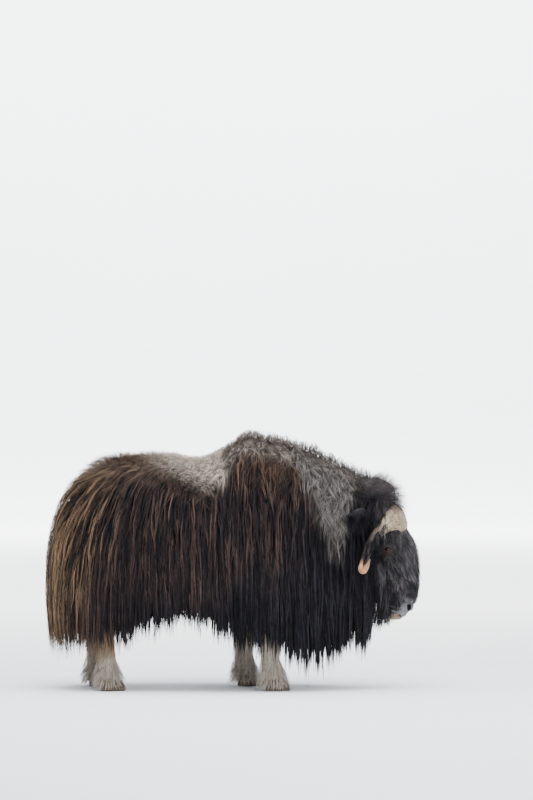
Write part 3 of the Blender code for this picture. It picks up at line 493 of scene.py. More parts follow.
def head_tone(points, streak, tones):
    """The colour of the head at a place, the head as modelled straight ahead."""
    x, y, z = points[..., 0], np.abs(points[..., 1]), points[..., 2]
    rough = 0.010 * ripple(points, 0.06, 3)
    nostril_z, nostril_x = z, x
    z, x = z + rough, x + rough
    pair = zone_picker(points, streak, tones)
    colour = pair("face")
    colour = blend(colour, pair("cap"), step(0.93, 1.00, z))
    colour = blend(colour, pair("cape"), (1 - step(0.66, 0.80, x - 0.5 * (z - 1.12))) * step(1.05, 1.10, z))
    colour = blend(colour, pair("mane"), (1 - step(0.78, 0.85, x)) * (1 - step(1.02, 1.07, z)))
    colour = blend(colour, pair("mane"), window(z, 0.475, 0.510, 0.560, 0.62) * step(0.90, 0.96, x))
    colour = blend(colour, pair("mane"), 0.8 * (1 - step(0.50, 0.62, z)) * (1 - step(0.87, 0.95, x)))
    rim = np.linalg.norm(np.stack([x, y, z * 0.8], -1)
                         - np.array(face_point(NOSTRIL[1], NOSTRIL[0])) * (1, 1, 0.8), axis=-1)
    muzzle = (1 - step(0.030, 0.046, rim)) + step(0.86, 0.89, x) * (1 - step(0.420, 0.432, z))
    muzzle = muzzle + 0.35 * step(0.93, 0.96, x) * (1 - step(0.455, 0.475, z))
    colour = blend(colour, pair("muzzle"), np.minimum(1, muzzle))
    lip = step(0.826, 0.846, x) * (1 - step(0.404, 0.414, z)) * (1 - step(0.915, 0.935, x))
    colour = blend(colour, pair("lip"), lip)
    eye = np.sqrt((x - EYE_PLACE.x) ** 2 + (z - EYE_PLACE.z + 0.012) ** 2 + ((y - EYE_PLACE.y) * 0.7) ** 2)
    colour = blend(colour, pair("lid"), 1 - step(0.026, 0.046, eye))
    # Painted shade: the inside of each nostril's hole is painted near black
    away = np.stack([nostril_x, y, nostril_z], -1) - face_point(NOSTRIL[1], NOSTRIL[0])
    c, s = math.cos(NOSTRIL_SLANT), math.sin(NOSTRIL_SLANT)
    local = np.stack([away[..., 0] * c + away[..., 1] * s - NOSTRIL_AHEAD,
                      away[..., 1] * c - away[..., 0] * s, away[..., 2]], -1)
    inside = np.linalg.norm(local / NOSTRIL_RADII, axis=-1)
    colour = colour * (0.03 + 0.97 * step(1.02, 1.16, inside))[..., None]
    shadow = window(np.hypot(x - EYE_PLACE.x + 0.006, (z - EYE_PLACE.z) * 0.8), 0.020, 0.034, 0.056, 0.088)
    colour = colour * (1 - 0.55 * shadow * step(0.05, 0.09, y))[..., None]
    return colour


def leg_tone(points, streak, tones):
    x, z = points[..., 0], points[..., 2]
    rough = 0.03 * ripple(points, 0.10, 4)
    pair = zone_picker(points, streak, tones)
    colour = pair("leg")
    hind = 1 - step(-0.4, -0.3, x)
    colour = blend(colour, pair("thigh"), step(0.20, 0.36, z + rough + 0.08 * hind))
    colour = blend(colour, pair("thigh"), 0.5 * hind * step(0.10, 0.02, x + 0.70) * step(0.10, 0.2, z))
    return colour


# Hair as solid tapered strands

def strands(paths, outs, half_width, thick, taper, roots_uv, tones):
    """Arrays of many strands: each is a three-sided blade that ends in a point.

    paths and outs are strands by rings by 3, with the tip as the last ring.
    """
    n, k = paths.shape[:2]
    ways = unit(np.gradient(paths, axis=1))
    across = unit(np.cross(ways, outs))
    up = np.cross(across, ways)
    rings = k - 1
    half = half_width[:, None, None] * taper[None, :rings, None]
    p, a, o = paths[:, :rings], across[:, :rings], up[:, :rings]
    body = np.stack([p + a * half, p - a * half, p + o * half * thick], axis=2)
    verts = np.concatenate([body.reshape(n, rings * 3, 3), paths[:, -1:]], axis=1)
    per = rings * 3 + 1
    faces, cells = [], []
    for ring in range(rings - 1):
        low, high = ring / rings, (ring + 1) / rings
        for i in range(3):
            j = (i + 1) % 3
            faces.append((ring * 3 + i, ring * 3 + j, ring * 3 + 3 + j, ring * 3 + 3 + i))
            cells += [(i / 3, low), (i / 3 + 1 / 3, low), (i / 3 + 1 / 3, high), (i / 3, high)]
    last, low = (rings - 1) * 3, (rings - 1) / rings
    for i in range(3):
        faces.append((last + i, last + (i + 1) % 3, per - 1))
        cells += [(i / 3, low), (i / 3 + 1 / 3, low), (i / 3 + 1 / 6, 1.0)]
    faces.append((2, 1, 0))
    cells += [(0.2, 0.0), (0.1, 0.0), (0.0, 0.0)]
    flat = np.concatenate([np.array(f) for f in faces])
    starts = np.concatenate([[0], np.cumsum([len(f) for f in faces])[:-1]])
    colours = np.concatenate([np.repeat(tones[:, :rings], 3, axis=1), tones[:, -1:]], axis=1)
    return dict(
        verts=verts.reshape(-1, 3),
        loops=(flat[None, :] + np.arange(n)[:, None] * per).ravel(),
        starts=(starts[None, :] + np.arange(n)[:, None] * len(flat)).ravel(),
        uv=np.clip(roots_uv[:, None, :] + (np.array(cells)[None] - 0.5) * 0.003, 0, 1).reshape(-1, 2),
        tones=colours.reshape(-1, 3),
    )


def strand_piece(name, batches):
    """One coat piece from one or more batches of strands."""
    verts = np.concatenate([b["verts"] for b in batches])
    shift = np.cumsum([0] + [len(b["verts"]) for b in batches])
    turn = np.cumsum([0] + [len(b["loops"]) for b in batches])
    loops = np.concatenate([b["loops"] + n for b, n in zip(batches, shift)])
    starts = np.concatenate([b["starts"] + n for b, n in zip(batches, turn)])
    mesh = bpy.data.meshes.new(name)
    mesh.vertices.add(len(verts))
    mesh.vertices.foreach_set("co", verts.astype(np.float32).ravel())
    mesh.loops.add(len(loops))
    mesh.loops.foreach_set("vertex_index", loops.astype(np.int32))
    mesh.polygons.add(len(starts))
    mesh.polygons.foreach_set("loop_start", starts.astype(np.int32))
    uv = mesh.uv_layers.new(name="OFBake")
    uv.data.foreach_set("uv", np.concatenate([b["uv"] for b in batches]).astype(np.float32).ravel())
    mesh.update(calc_edges=True)
    paint(mesh, "tone", np.concatenate([b["tones"] for b in batches]))
    return as_piece(name, mesh, "root")


def spread(draw, weight, count):
    """Picks places on a table of weights, spread evenly. Gives row and column as fractions 0 to 1."""
    rows, columns = weight.shape
    per_row = weight.sum(1)
    shares = np.cumsum(per_row) / per_row.sum()
    even = (np.arange(count) + draw.uniform(0, 1, count)) / count
    row = np.minimum(np.searchsorted(shares, even), rows - 1)
    inner = np.cumsum(weight, axis=1)
    golden = (np.arange(count) * GOLDEN_SHARE + draw.uniform(-0.02, 0.02, count)) % 1.0
    column = np.array([np.searchsorted(inner[r], g * inner[r, -1]) for r, g in zip(row, golden)])
    u = (row + draw.uniform(0, 1, count)) / rows
    v = (np.minimum(column, columns - 1) + draw.uniform(0, 1, count)) / columns
    return u, v


def blend_numbers(x, *pairs):
    xs, ys = zip(*pairs)
    return np.interp(x, xs, ys)


def coat_length(x, drop, run):
    """The hair's length where it grows, at x and a drop below the ridge, with run left to the tips."""
    wool = blend_numbers(x, (-0.75, 0.085), (-0.45, 0.065), (-0.30, 0.050), (-0.08, 0.050), (0.05, 0.080),
                         (0.30, 0.085), (0.50, 0.080), (0.70, 0.085))
    patch = window(x, -0.02, 0.10, 0.28, 0.44) * window(drop, 0.08, 0.16, 0.30, 0.42)
    cape = window(x, 0.36, 0.46, 0.60, 0.68) * (1 - step(0.36, 0.5, drop))
    long = np.minimum(np.minimum(run, 0.22 + 0.95 * drop), 0.56)
    starts = 0.065 + 0.09 * window(x, -0.40, -0.26, -0.1, 0.0) + 0.05 * step(0.0, 0.2, x)
    length = wool + (long - wool) * step(starts, starts + 0.13, drop)
    length = length + (0.15 - length) * 0.85 * patch
    return length + (0.075 - length) * 0.92 * cape


# Half the width of a long strand. Then the trunk's kinds of hair: clumps, hairs in a clump, points along
# a hair, a clump's radius, how far its hairs gather, least and greatest height in the coat, curl, least
# and greatest wave length, half width, how much darker it is and how far it strays.
STRAND_HALF = 0.0017
Kind = namedtuple("Kind", "clumps per rings radius tight low high curl wave width dark stray")
HAIR_KINDS = {
    "outer": Kind(3950, 3, 9, 0.0085, 0.60, 0.66, 1.04, 0.0034, (0.15, 0.27), STRAND_HALF, 0.0, 0.08),
    "under": Kind(3100, 2, 5, 0.015, 0.40, 0.10, 0.75, 0.0020, (0.18, 0.30), 0.0037, 0.75, 0.10),
    "wool": Kind(4900, 4, 4, 0.0145, 0.25, 0.45, 1.06, 0.0026, (0.050, 0.085), 0.00108, 0.0, 0.34),
}
LOCK_WIDE = 0.040


def drift_at(u, f):
    """How far back the hair of the rump has drifted by f, in metres round the side."""
    rear = step(0.0, 0.30, u) * (1 - step(REAR_ARC + 0.02, REAR_ARC + 0.42, u))
    bend = np.where(f < 0.20, f, 0.20 + 0.20 * (1 - np.exp(-(f - 0.20) / 0.20)))
    return 0.78 * rear * bend


def trunk_hair(draw, kind, sizes):
    """One kind of the trunk's hair, in clumps that follow the coat's lie from the skin to the tips."""
    grid_u, grid_f = np.meshgrid(np.linspace(0, AROUND, COAT.across), np.linspace(0, 1, COAT.down + 1),
                                 indexing="ij")
    place, _ = COAT.place(grid_u, grid_f, 0.0, 1.0)
    area = np.linalg.norm(np.cross(np.gradient(place, axis=0), np.gradient(place, axis=1)), axis=-1)
    drop = BACK(place[..., 0]) - place[..., 2]
    length = coat_length(place[..., 0], drop, (1 - grid_f) * COAT.length[:, None])
    short = 1 - step(0.13, 0.24, length)
    if kind == HAIR_KINDS["wool"]:
        ridge = 1 - step(0.02, 0.09, drop)
        weight = area * short * (1 + 0.8 * window(place[..., 0], -0.9, -0.7, -0.1, 0.0) + ridge)
    else:
        weight = area * (1 - short) * (1 + 0.5 * step(0.25, 0.6, grid_f))
    weight = weight * (1 - step(0.68, 0.76, grid_f))
    clumps = int(kind.clumps * sizes)
    u, f = spread(draw, weight, clumps)
    cu, cf = u * AROUND, f
    side = np.where(np.arange(clumps) % 2, 1.0, -1.0)
    owner = np.repeat(np.arange(clumps), kind.per)
    n = len(owner)
    root, _ = COAT.place(cu, cf, 0.0, side)
    run = COAT.read(COAT.length, cu)
    c_drop = BACK(root[:, 0]) - root[:, 2]
    c_len = coat_length(root[:, 0], c_drop, (1 - cf) * run) * draw.uniform(0.80, 1.15, clumps)
    tip_u = cu - (drift_at(cu, 1.0 + 0 * cf) - drift_at(cu, cf)) * run
    lock = (tip_u / LOCK_WIDE + 40).astype(int) * 2 + (side > 0)
    ends, shifts = draw.uniform(-0.105, 0.035, 400), draw.uniform(-0.45, 0.45, 400)
    lock_u = (lock // 2 - 40 + 0.5 + shifts[lock]) * LOCK_WIDE
    mane = window(root[:, 0], 0.26, 0.36, 0.66, 0.76)
    longer = 0.07 * window(root[:, 0], -0.96, -0.88, -0.72, -0.62) + 0.02 * mane
    limit = (1.03 + longer + ends[lock] * (1 + 0.9 * mane) + 0.014 * draw.normal(size=clumps) - cf) * run
    c_len = np.minimum(c_len, np.maximum(limit, 0.05))
    woolly = 1 - step(0.12, 0.22, c_len)
    calm = 1 - 0.5 * window(root[:, 0], -0.36, -0.26, -0.12, -0.04)
    upright = woolly * (1 - step(0.02, 0.11, c_drop)) * calm
    sway = draw.normal(size=clumps) * (0.050 + kind.stray * woolly)
    wave, phase = draw.uniform(*kind.wave, clumps), draw.uniform(0, 1, clumps)
    high = draw.uniform(kind.low, kind.high, clumps)
    streak = draw.uniform(0, 1, clumps)
    pale = window(root[:, 0], -0.46, -0.34, -0.08, 0.0)
    streak = np.where(woolly > 0.5, 0.15 + 0.65 * streak + pale * (0.22 - 0.25 * streak), streak ** 2.6)

    t = np.linspace(0, 1, kind.rings)[None, :]
    spin, radius = draw.uniform(0, math.tau, n), np.sqrt(draw.uniform(0, 1, n)) * kind.radius
    du, df = np.cos(spin) * radius, np.sin(spin) * radius / run[owner]
    own_len = c_len[owner] * draw.uniform(0.84, 1.04, n)
    near = 1 - (kind.tight * draw.uniform(0.8, 1.2, clumps))[owner, None] * step(0.0, 0.85, t)
    curl = kind.curl * draw.uniform(0.5, 1.5, clumps)[owner] * draw.uniform(0.8, 1.2, n)
    turns = own_len / wave[owner]
    spin_at = math.tau * (turns[:, None] * t + (phase[owner] + 0.04 * draw.normal(size=n))[:, None])
    ramp = step(0.0, 0.35, t) * curl[:, None]
    wiggle, bob = np.sin(spin_at) * ramp, np.cos(spin_at) * ramp * 0.8
    along_skin = own_len * (1 - 0.62 * upright[owner])
    ff = cf[owner, None] + df[:, None] * near + along_skin[:, None] * t / run[owner, None]
    uu = cu[owner, None] + du[:, None] * near + wiggle + (sway[owner] * own_len)[:, None] * t ** 1.5
    uu = uu - (drift_at(uu, ff) - drift_at(uu, cf[owner, None])) * run[owner, None]
    gather = (draw.uniform(0.10, 0.55, clumps) + 0.28 * mane)[owner, None] * (1 - woolly[owner, None])
    gather = gather * step(0.62, 1.0, ff)
    uu = uu + (lock_u[owner, None] - uu) * gather
    flip = uu < 0
    uu = np.abs(uu)
    depth = COAT.read(COAT.depth, uu, ff)
    rise = np.minimum(1, t / (0.30 + 0.5 * woolly[owner, None])) ** 0.8
    crest = window(root[:, 0], -0.04, 0.04, 0.16, 0.30) * (1 - step(0.03, 0.14, c_drop))
    fuzz = 0.75 * (1 - step(-0.30, -0.10, root[:, 0])) + 1.1 * window(root[:, 0], 0.38, 0.41, 0.45, 0.49)
    fuzz = fuzz * upright * draw.uniform(0, 1, clumps) ** 2
    top = (high[owner] * (1 - 0.14 * crest[owner]) + 0.06 * draw.normal(size=n) + fuzz[owner])[:, None]
    sunk = -0.004 / depth - 0.05
    dd = sunk + (top - sunk) * rise + bob / depth
    side_here = np.where(flip, -side[owner, None], side[owner, None])
    paths, outs = COAT.place(uu, ff, dd, side_here)
    across = 0.30 * draw.normal(size=clumps) * upright
    paths[..., 1] += (across[owner] * own_len)[:, None] * t ** 1.2
    tuft = np.clip(streak[owner] + 0.12 * draw.normal(size=n), 0, 1)
    roots = dict(u=np.clip(cu[owner] + du, 0, AROUND), f=cf[owner] + df, side=side[owner])
    width = kind.width * draw.uniform(0.75, 1.25, n) * np.interp(own_len, (0.04, 0.12), (0.75, 1.0))
    roots["short"] = own_len < 0.12
    return dict(paths=paths, outs=outs, streak=tuft, width=width, dark=kind.dark, t=t[0], **roots)


# The trunk's coat in pieces: name and where each begins, in metres round the side from the rear
COAT_PIECES = (("rump", 0.0), ("haunch", 0.38), ("flank", 0.75), ("shoulder", 1.105), ("neck", 1.55),
               ("end", AROUND + 1))


def build_coat(tones, sizes, half_width):
    draw = np.random.default_rng(SEED)
    kinds = [trunk_hair(draw, kind, sizes) for kind in HAIR_KINDS.values()]
    made = []
    for (name, low), (_, high) in zip(COAT_PIECES, COAT_PIECES[1:]):
        for side, word in ((-1, "right"), (1, "left")):
            batches = []
            for hair in kinds:
                pick = (hair["u"] >= low) & (hair["u"] < high) & (hair["side"] == side)
                t, dark = hair["t"], hair["dark"]
                paths, streak = hair["paths"][pick], hair["streak"][pick]
                toned = streak * (1 - dark * 0.8)
                colours = trunk_tone(paths, np.clip(toned[:, None] * (0.80 + 0.30 * t), 0, 1), tones)
                # Painted shade: each strand is darker towards its root, where the depth of the coat shades
                # it, and the under hair is darker still
                deep = np.where(hair["short"][pick], 0.72, 0.50)[:, None]
                shade = (deep + (1 - deep) * np.minimum(1, t / 0.35)) * (1 - 0.35 * dark)
                colours = colours * shade[..., None]
                u, f = hair["u"][pick], hair["f"][pick]
                uv = np.stack([0.02 + 0.96 * (u - low) / (min(high, AROUND) - low),
                               0.02 + 0.96 * f / 0.85], 1)
                taper = np.interp(t, (0, 0.15, 0.7, 0.9, 1), (0.75, 1.0, 0.85, 0.5, 0.1))
                width = hair["width"][pick] * half_width / STRAND_HALF
                batches.append(strands(paths, hair["outs"][pick], width, 0.55, taper, uv, colours))
            made.append(strand_piece(f"coat_{name}_{word}", batches))
    return made


# Skin

def trunk_skin():
    """The trunk's closed skin on the core of the coat."""
    us = np.concatenate([
        np.linspace(0, REAR_ARC, 16)[:-1], np.linspace(REAR_ARC, REAR_ARC + SIDE_LENGTH, 46),
        np.linspace(REAR_ARC + SIDE_LENGTH, AROUND, 9)[1:],
    ])
    rings = []
    for u in us:
        x, way = section(u)[:2]
        widest = float(COAT.read(COAT.widest, np.array(u)))
        shares = widest * np.linspace(0, 1, 19) ** 0.9
        upper, _ = COAT.place(np.full(19, u), shares, -0.06, 1.0)
        edge = upper[-1]
        reach, belly = math.hypot(edge[0] - x, edge[1]), float(BELLY(x))
        a = np.linspace(0, math.pi / 2, 14)[1:]
        r = reach * np.maximum(0, np.cos(a)) ** (2 / BELLY_POWER)
        z = edge[2] - (edge[2] - belly) * np.sin(a) ** (2 / BELLY_POWER)
        lower = np.stack([x + way[0] * r, way[1] * r, z], 1)
        upper[0], lower[-1] = (x, 0, upper[0][2]), (x, 0, belly)
        rings.append(np.concatenate([upper, lower]))
    rings = np.array(rings)
    rings[0, :, 1] = rings[-1, :, 1] = 0
    bm = bmesh.new()
    draped(bm, rings)
    bmesh.ops.mirror(bm, geom=bm.verts[:] + bm.edges[:] + bm.faces[:], axis="Y", merge_dist=1e-5)
    bmesh.ops.remove_doubles(bm, verts=bm.verts, dist=1e-5)
    bmesh.ops.recalc_face_normals(bm, faces=bm.faces)
    return new_object("skin", bm, body=None)


def leg_surface(foot, share, angle, grow=0.0):
    """Points on a leg at shares of its height and angles round it, and the ways out."""
    table = np.array(FORE_SHAPE if foot.name.startswith("fore") else HIND_SHAPE)[::-1]
    share, angle = np.asarray(share, float), np.asarray(angle, float)
    shift, long, wide = (np.interp(share, table[:, 0], table[:, i]) for i in (1, 2, 3))
    low = HOOF_HEIGHT
    z = low + (foot.top - low) * share
    c, s = np.cos(angle), np.sin(angle)
    front = 1 + 0.10 * c * window(share, -0.1, 0.02, 0.1, 0.2)
    x = foot.x + foot.lean * share + shift + (long + grow) * np.sign(c) * np.abs(c) ** 0.95 * front
    y = foot.y * (1 - 0.12 * share) + (wide + grow) * np.sign(s) * np.abs(s) ** 0.95
    out = np.stack([c / np.maximum(long, 1e-3), s / np.maximum(wide, 1e-3), 0 * c], -1)
    return np.stack([x, y, z + 0 * c], -1), unit(out)


def leg_skins():
    made = []
    for foot in FEET:
        shares = np.concatenate([np.linspace(0, 0.3, 22), np.linspace(0.32, 1, 22)])
        angles = np.arange(28) / 28 * math.tau
        rings = np.array([leg_surface(foot, np.full(28, s), angles, -0.006)[0] for s in shares])
        made.append(closed_loft(foot.name, with_poles(rings)))
        for y in (-0.022, 0.022):
            path = np.linspace((foot.x - 0.033, foot.y + y, 0.100), (foot.x - 0.066, foot.y + y, 0.074), 6)
            made.append(closed_loft("dewclaw", tube_rings(path, np.linspace(0.013, 0.008, 6), 12)))
    return made


SLICE_TABLE = curve_through([tuple(s) for s in HEAD_SLICES], 4)[::-1]


def head_slice(z):
    return [np.interp(z, SLICE_TABLE[:, 0], SLICE_TABLE[:, i]) for i in (1, 2, 3, 4)]


def head_inset(z, share):
    """How deep the head's skin lies in its outline, for the hair that grows on it."""
    a = np.abs((np.asarray(share, float) + 1) % 2 - 1)
    inset = 0.003 + 0.007 * step(0.49, 0.57, z) + 0.008 * step(0.35, 0.6, a) * step(0.42, 0.5, z)
    return inset + 0.026 * step(0.955, 1.02, z)


def head_surface(z, share, lift=0.0):
    """Points on the head, straight ahead, at heights and shares of the way from the face round to the back.

    A negative share is the other side. Gives the points and the ways out.
    """
    back, front, half, power = head_slice(z)
    a = np.asarray(share, float) * math.pi
    c, s = np.cos(a), np.sin(a)
    reach = (front - back) / 2
    x = (front + back) / 2 + (reach + lift) * np.sign(c) * np.abs(c) ** (2 / power)
    y = (half + lift) * np.sign(s) * np.abs(s) ** (2 / power)
    step_z = 0.004
    _, next_front, next_half, _ = head_slice(z + step_z)
    slope = ((next_front - front) * c + (next_half - half) * np.abs(s)) / step_z
    out = np.stack([np.sign(c) * np.abs(c) ** 1.2 / reach, np.sign(s) * np.abs(s) ** 1.2 / half, 0 * c], -1)
    out = unit(out)
    out[..., 2] = -slope * 0.8
    return np.stack([x, y, z + 0 * c], -1), unit(out)


def face_point(z, y):
    back, front, half, _ = (float(v) for v in head_slice(z))
    reach = (front - back) / 2
    return np.array(((front + back) / 2 + reach * max(0.0, 1 - abs(y / half) ** 2.3) ** (1 / 2.3), y, z))


def head_skin(voxel):
    """The head's closed skin, straight ahead: its form, brows, lids, nostrils, lips and mouth line."""
    zs = SLICE_TABLE[::-1, 0]
    shares = np.arange(64) / 32
    rings = np.array([head_surface(np.full(64, z), shares, -head_inset(z, shares))[0] for z in zs])
    rings[..., 2] -= 0.016 * step(1.0, 1.148, rings[..., 2])
    pieces = [closed_loft("head_form", with_poles(rings))]
    pieces.append(
        closed_loft("nape", with_poles(np.array([
            loop_points((x, 0, z), (0, 1, 0), (0, 0, 1), a, b, 40, 2.3)
            for x, z, a, b in ((0.46, 0.90, 0.13, 0.24), (0.58, 0.89, 0.135, 0.24), (0.70, 0.87, 0.125, 0.22),
                               (0.80, 0.86, 0.105, 0.18))
        ])))
    )
    holes = []
    pieces.append(ball("poll", Vector((0.712, 0, 1.038)), (0.122, 0.112, 0.104)))
    for side in (-1, 1):
        eye = Vector((EYE_PLACE.x, side * EYE_PLACE.y, EYE_PLACE.z))
        pieces.append(ball("brow", eye + Vector((-0.004, -0.017 * side, 0.010)), (0.046, 0.028, 0.044)))
        pieces.append(ball("brow_ridge", eye + Vector((0.012, -0.014 * side, 0.030)), (0.036, 0.022, 0.015),
                           Matrix.Rotation(math.radians(28), 3, "Y")))
        pieces.append(ball("cheek", Vector((0.800, side * 0.058, 0.640)), (0.070, 0.034, 0.120),
                           Matrix.Rotation(math.radians(-14), 3, "Y")))
        pieces.append(ball("jaw", Vector((0.835, side * 0.042, 0.505)), (0.056, 0.032, 0.085),
                           Matrix.Rotation(math.radians(-24), 3, "Y")))
        nose = Vector(face_point(NOSTRIL[1], side * NOSTRIL[0]))
        slant = Matrix.Rotation(NOSTRIL_SLANT * side, 3, "Z")
        wing = nose + slant @ Vector((-0.012, 0, 0))
        pieces.append(ball("nostril_wing", wing, (0.022, 0.027, 0.031), slant))
        hole = nose + slant @ Vector((NOSTRIL_AHEAD, 0, 0))
        holes.append(ball("nostril", hole, NOSTRIL_RADII, slant))
        lip = [face_point(z, side * y)
               for z, y in ((0.415, 0.004), (0.417, 0.030), (0.422, 0.052), (0.433, 0.068))]
        lip += [np.array((0.892, side * 0.085, 0.441)), np.array((0.856, side * 0.084, 0.453))]
        lip = curve_through(lip, 5)
        radii = np.interp(np.linspace(0, 1, len(lip)), (0, 0.3, 0.7, 1), (0.0125, 0.0130, 0.0100, 0.004))
        pieces.append(closed_loft("upper_lip", tube_rings(lip, radii, 14)))
        under = lip - (0.010, 0, 0.0185)
        pieces.append(closed_loft("lower_lip", tube_rings(under, radii * 0.74, 14)))
    pieces.append(ball("chin", Vector((0.880, 0, 0.388)), (0.044, 0.042, 0.018)))
    head = pieces[0]
    bpy.context.view_layer.update()
    combine(head, pieces[1:], "UNION")
    remesh = head.modifiers.new("remesh", "REMESH")
    remesh.mode, remesh.voxel_size = "VOXEL", voxel
    relax = head.modifiers.new("relax", "SMOOTH")
    relax.factor, relax.iterations = 0.5, 5
    apply_modifiers(head)
    t = np.linspace(-1, 1, 33)
    line = np.stack([0.938 - 0.083 * np.abs(t) ** 1.8, 0.092 * t, 0.3985 + 0.032 * np.abs(t) ** 2.2], 1)
    holes.append(closed_loft("mouth", tube_rings(line, 0.0030, 8)))
    line = face_point(0.45, 0)[None, :] + np.linspace(0, 1, 12)[:, None] * (-0.020, 0, -0.040)
    holes.append(closed_loft("philtrum", tube_rings(line, 0.0022, 8)))
    combine(head, holes, "DIFFERENCE")
    wrinkle(head.data)
    relax = head.modifiers.new("relax", "SMOOTH")
    relax.factor, relax.iterations = 0.5, 1
    apply_modifiers(head)
    lids = []
    for side in (-1, 1):
        eye = np.array((EYE_PLACE.x, side * EYE_PLACE.y, EYE_PLACE.z))
        socket = ball("socket", Vector(eye), (EYE_RADIUS * 1.03,) * 3)
        combine(head, [socket], "DIFFERENCE")
        for drop, lift, rim in ((0.0150, 1, 0.0074), (0.0150, -1, 0.0058)):
            a = np.radians(np.linspace(-6, 186, 25))
            path = eye + np.stack([
                np.cos(a) * 0.0205, side * (0.0035 + 0.0115 * np.sin(a).clip(0)), lift * np.sin(a) * drop
            ], 1)
            lids.append(closed_loft("lid", tube_rings(path, rim * (0.50 + 0.50 * np.sin(a).clip(0)), 12)))
    bpy.context.view_layer.update()
    combine(head, lids, "UNION")
    return head


def wrinkle(mesh):
    """Folds round the eyes, over the nose and down the cheeks, pressed into the head's skin."""
    p, n = coords(mesh), coords(mesh, "vertices", "normal")
    y = np.abs(p[:, 1])
    d = np.hypot(p[:, 0] - EYE_PLACE.x, (p[:, 2] - EYE_PLACE.z) * 1.15)
    near_eye = window(d, 0.024, 0.030, 0.046, 0.066)
    push = 0.0010 * np.sin(d * math.tau / 0.0125 + 0.8) * near_eye * step(0.06, 0.09, y)
    tear = np.abs(p[:, 0] - (0.888 + (0.74 - p[:, 2]) * 0.35))
    below_eye = window(p[:, 2], 0.66, 0.70, 0.735, 0.75)
    push -= 0.0035 * (1 - step(0.0, 0.010, tear)) * below_eye * step(0.05, 0.08, y)
    nose = window(p[:, 2], 0.455, 0.47, 0.52, 0.56) * step(0.93, 0.97, p[:, 0])
    push += 0.0014 * nose * np.sin(p[:, 2] * math.tau / 0.014 + 14 * y)
    push += 0.0010 * ripple(p, 0.035, 6) + 0.0005 * ripple(p, 0.012, 7)
    mesh.vertices.foreach_set("co", (p + n * push[:, None]).astype(np.float32).ravel())
    mesh.update()


def ear_skin(side):
    root, tip = (np.array((p.x, side * p.y, p.z)) for p in (EAR_ROOT, EAR_TIP))
    way = unit(tip - root)
    front = np.array((0.9, 0, -0.25))
    across = unit(np.cross(way, front))
    front = unit(np.cross(across, way))
    shape = ((0.0, 0.62, 0.9), (0.2, 0.92, 1.0), (0.45, 1.0, 0.92), (0.7, 0.82, 0.75), (0.9, 0.45, 0.50),
             (0.985, 0.16, 0.2))
    rings = []
    for share, wide, deep in curve_through(shape, 4):
        ring = loop_points(root + (tip - root) * share, across, front, EAR_WIDTH / 2 * wide,
                           EAR_THICK / 2 * deep, 40)
        rings.append(ring)
    ear = closed_loft("ear", with_poles(np.array(rings), root - way * 0.012, tip))
    path = np.array([root + (tip - root) * s + front * 0.015 for s in np.linspace(0.22, 0.93, 12)])
    radii = np.interp(np.linspace(0.22, 0.93, 12), (0.22, 0.3, 0.52, 0.74, 0.93),
                      (0.008, 0.016, 0.020, 0.015, 0.004))
    cup = closed_loft("cup", tube_rings(path, radii, 20, 0.70, front))
    bpy.context.view_layer.update()
    combine(ear, [cup], "DIFFERENCE")
    return ear


def tail_skin():
    line = ((-0.875, 1.0), (-0.918, 0.97), (-0.942, 0.92), (-0.952, 0.86))
    path = curve_through([(x, 0, z) for x, z in line], 6)
    return closed_loft("tail", tube_rings(path, np.linspace(0.026, 0.010, len(path)), 16, 0.8, (1, 0, 0)))


def build_skin(tones, voxel):
    skin = trunk_skin()
    head = head_skin(voxel)
    bpy.context.view_layer.update()
    combine(head, [ear_skin(-1), ear_skin(1)], "UNION")
    head.data.transform(TURN)
    bpy.context.view_layer.update()
    combine(skin, [head, *leg_skins(), tail_skin()], "UNION")
    skin.name = skin.data.name = "skin"
    mesh = skin.data
    mesh.polygons.foreach_set("use_smooth", np.ones(len(mesh.polygons), bool))
    p = coords(mesh)
    straight = (p - np.array(TURN)[:3, 3]) @ np.array(TURN)[:3, :3]
    body = trunk_tone(p, np.full(len(p), 0.25), tones) * 0.55
    face = head_tone(straight, np.full(len(p), 0.30), tones)
    legs = leg_tone(p, np.full(len(p), 0.45), tones)
    ears = step(0.115, 0.130, np.abs(straight[:, 1])) * window(p[:, 2], 0.86, 0.88, 1.01, 1.03)
    on_head = np.maximum(step(0.72, 0.78, straight[:, 0]), ears * step(0.64, 0.66, straight[:, 0]))
    on_head *= step(0.36, 0.37, p[:, 2])
    colour = blend(body, face, on_head)
    colour = blend(colour, legs, (1 - step(0.34, 0.44, p[:, 2])) * (1 - step(0.30, 0.40, p[:, 0])))
    paint(mesh, "tone", colour)
    for layer in list(mesh.uv_layers):
        mesh.uv_layers.remove(layer)
    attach(skin, "root")
    flesh = ("haunch", "barrel", "shoulder", "neck", "head", "ear", "foreleg", "hindleg", "tail")
    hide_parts(*[node for node in NODES if node.split("_")[0] in flesh])
    return skin


# Hair of the head, the legs and the ears, in short straight or bent tufts

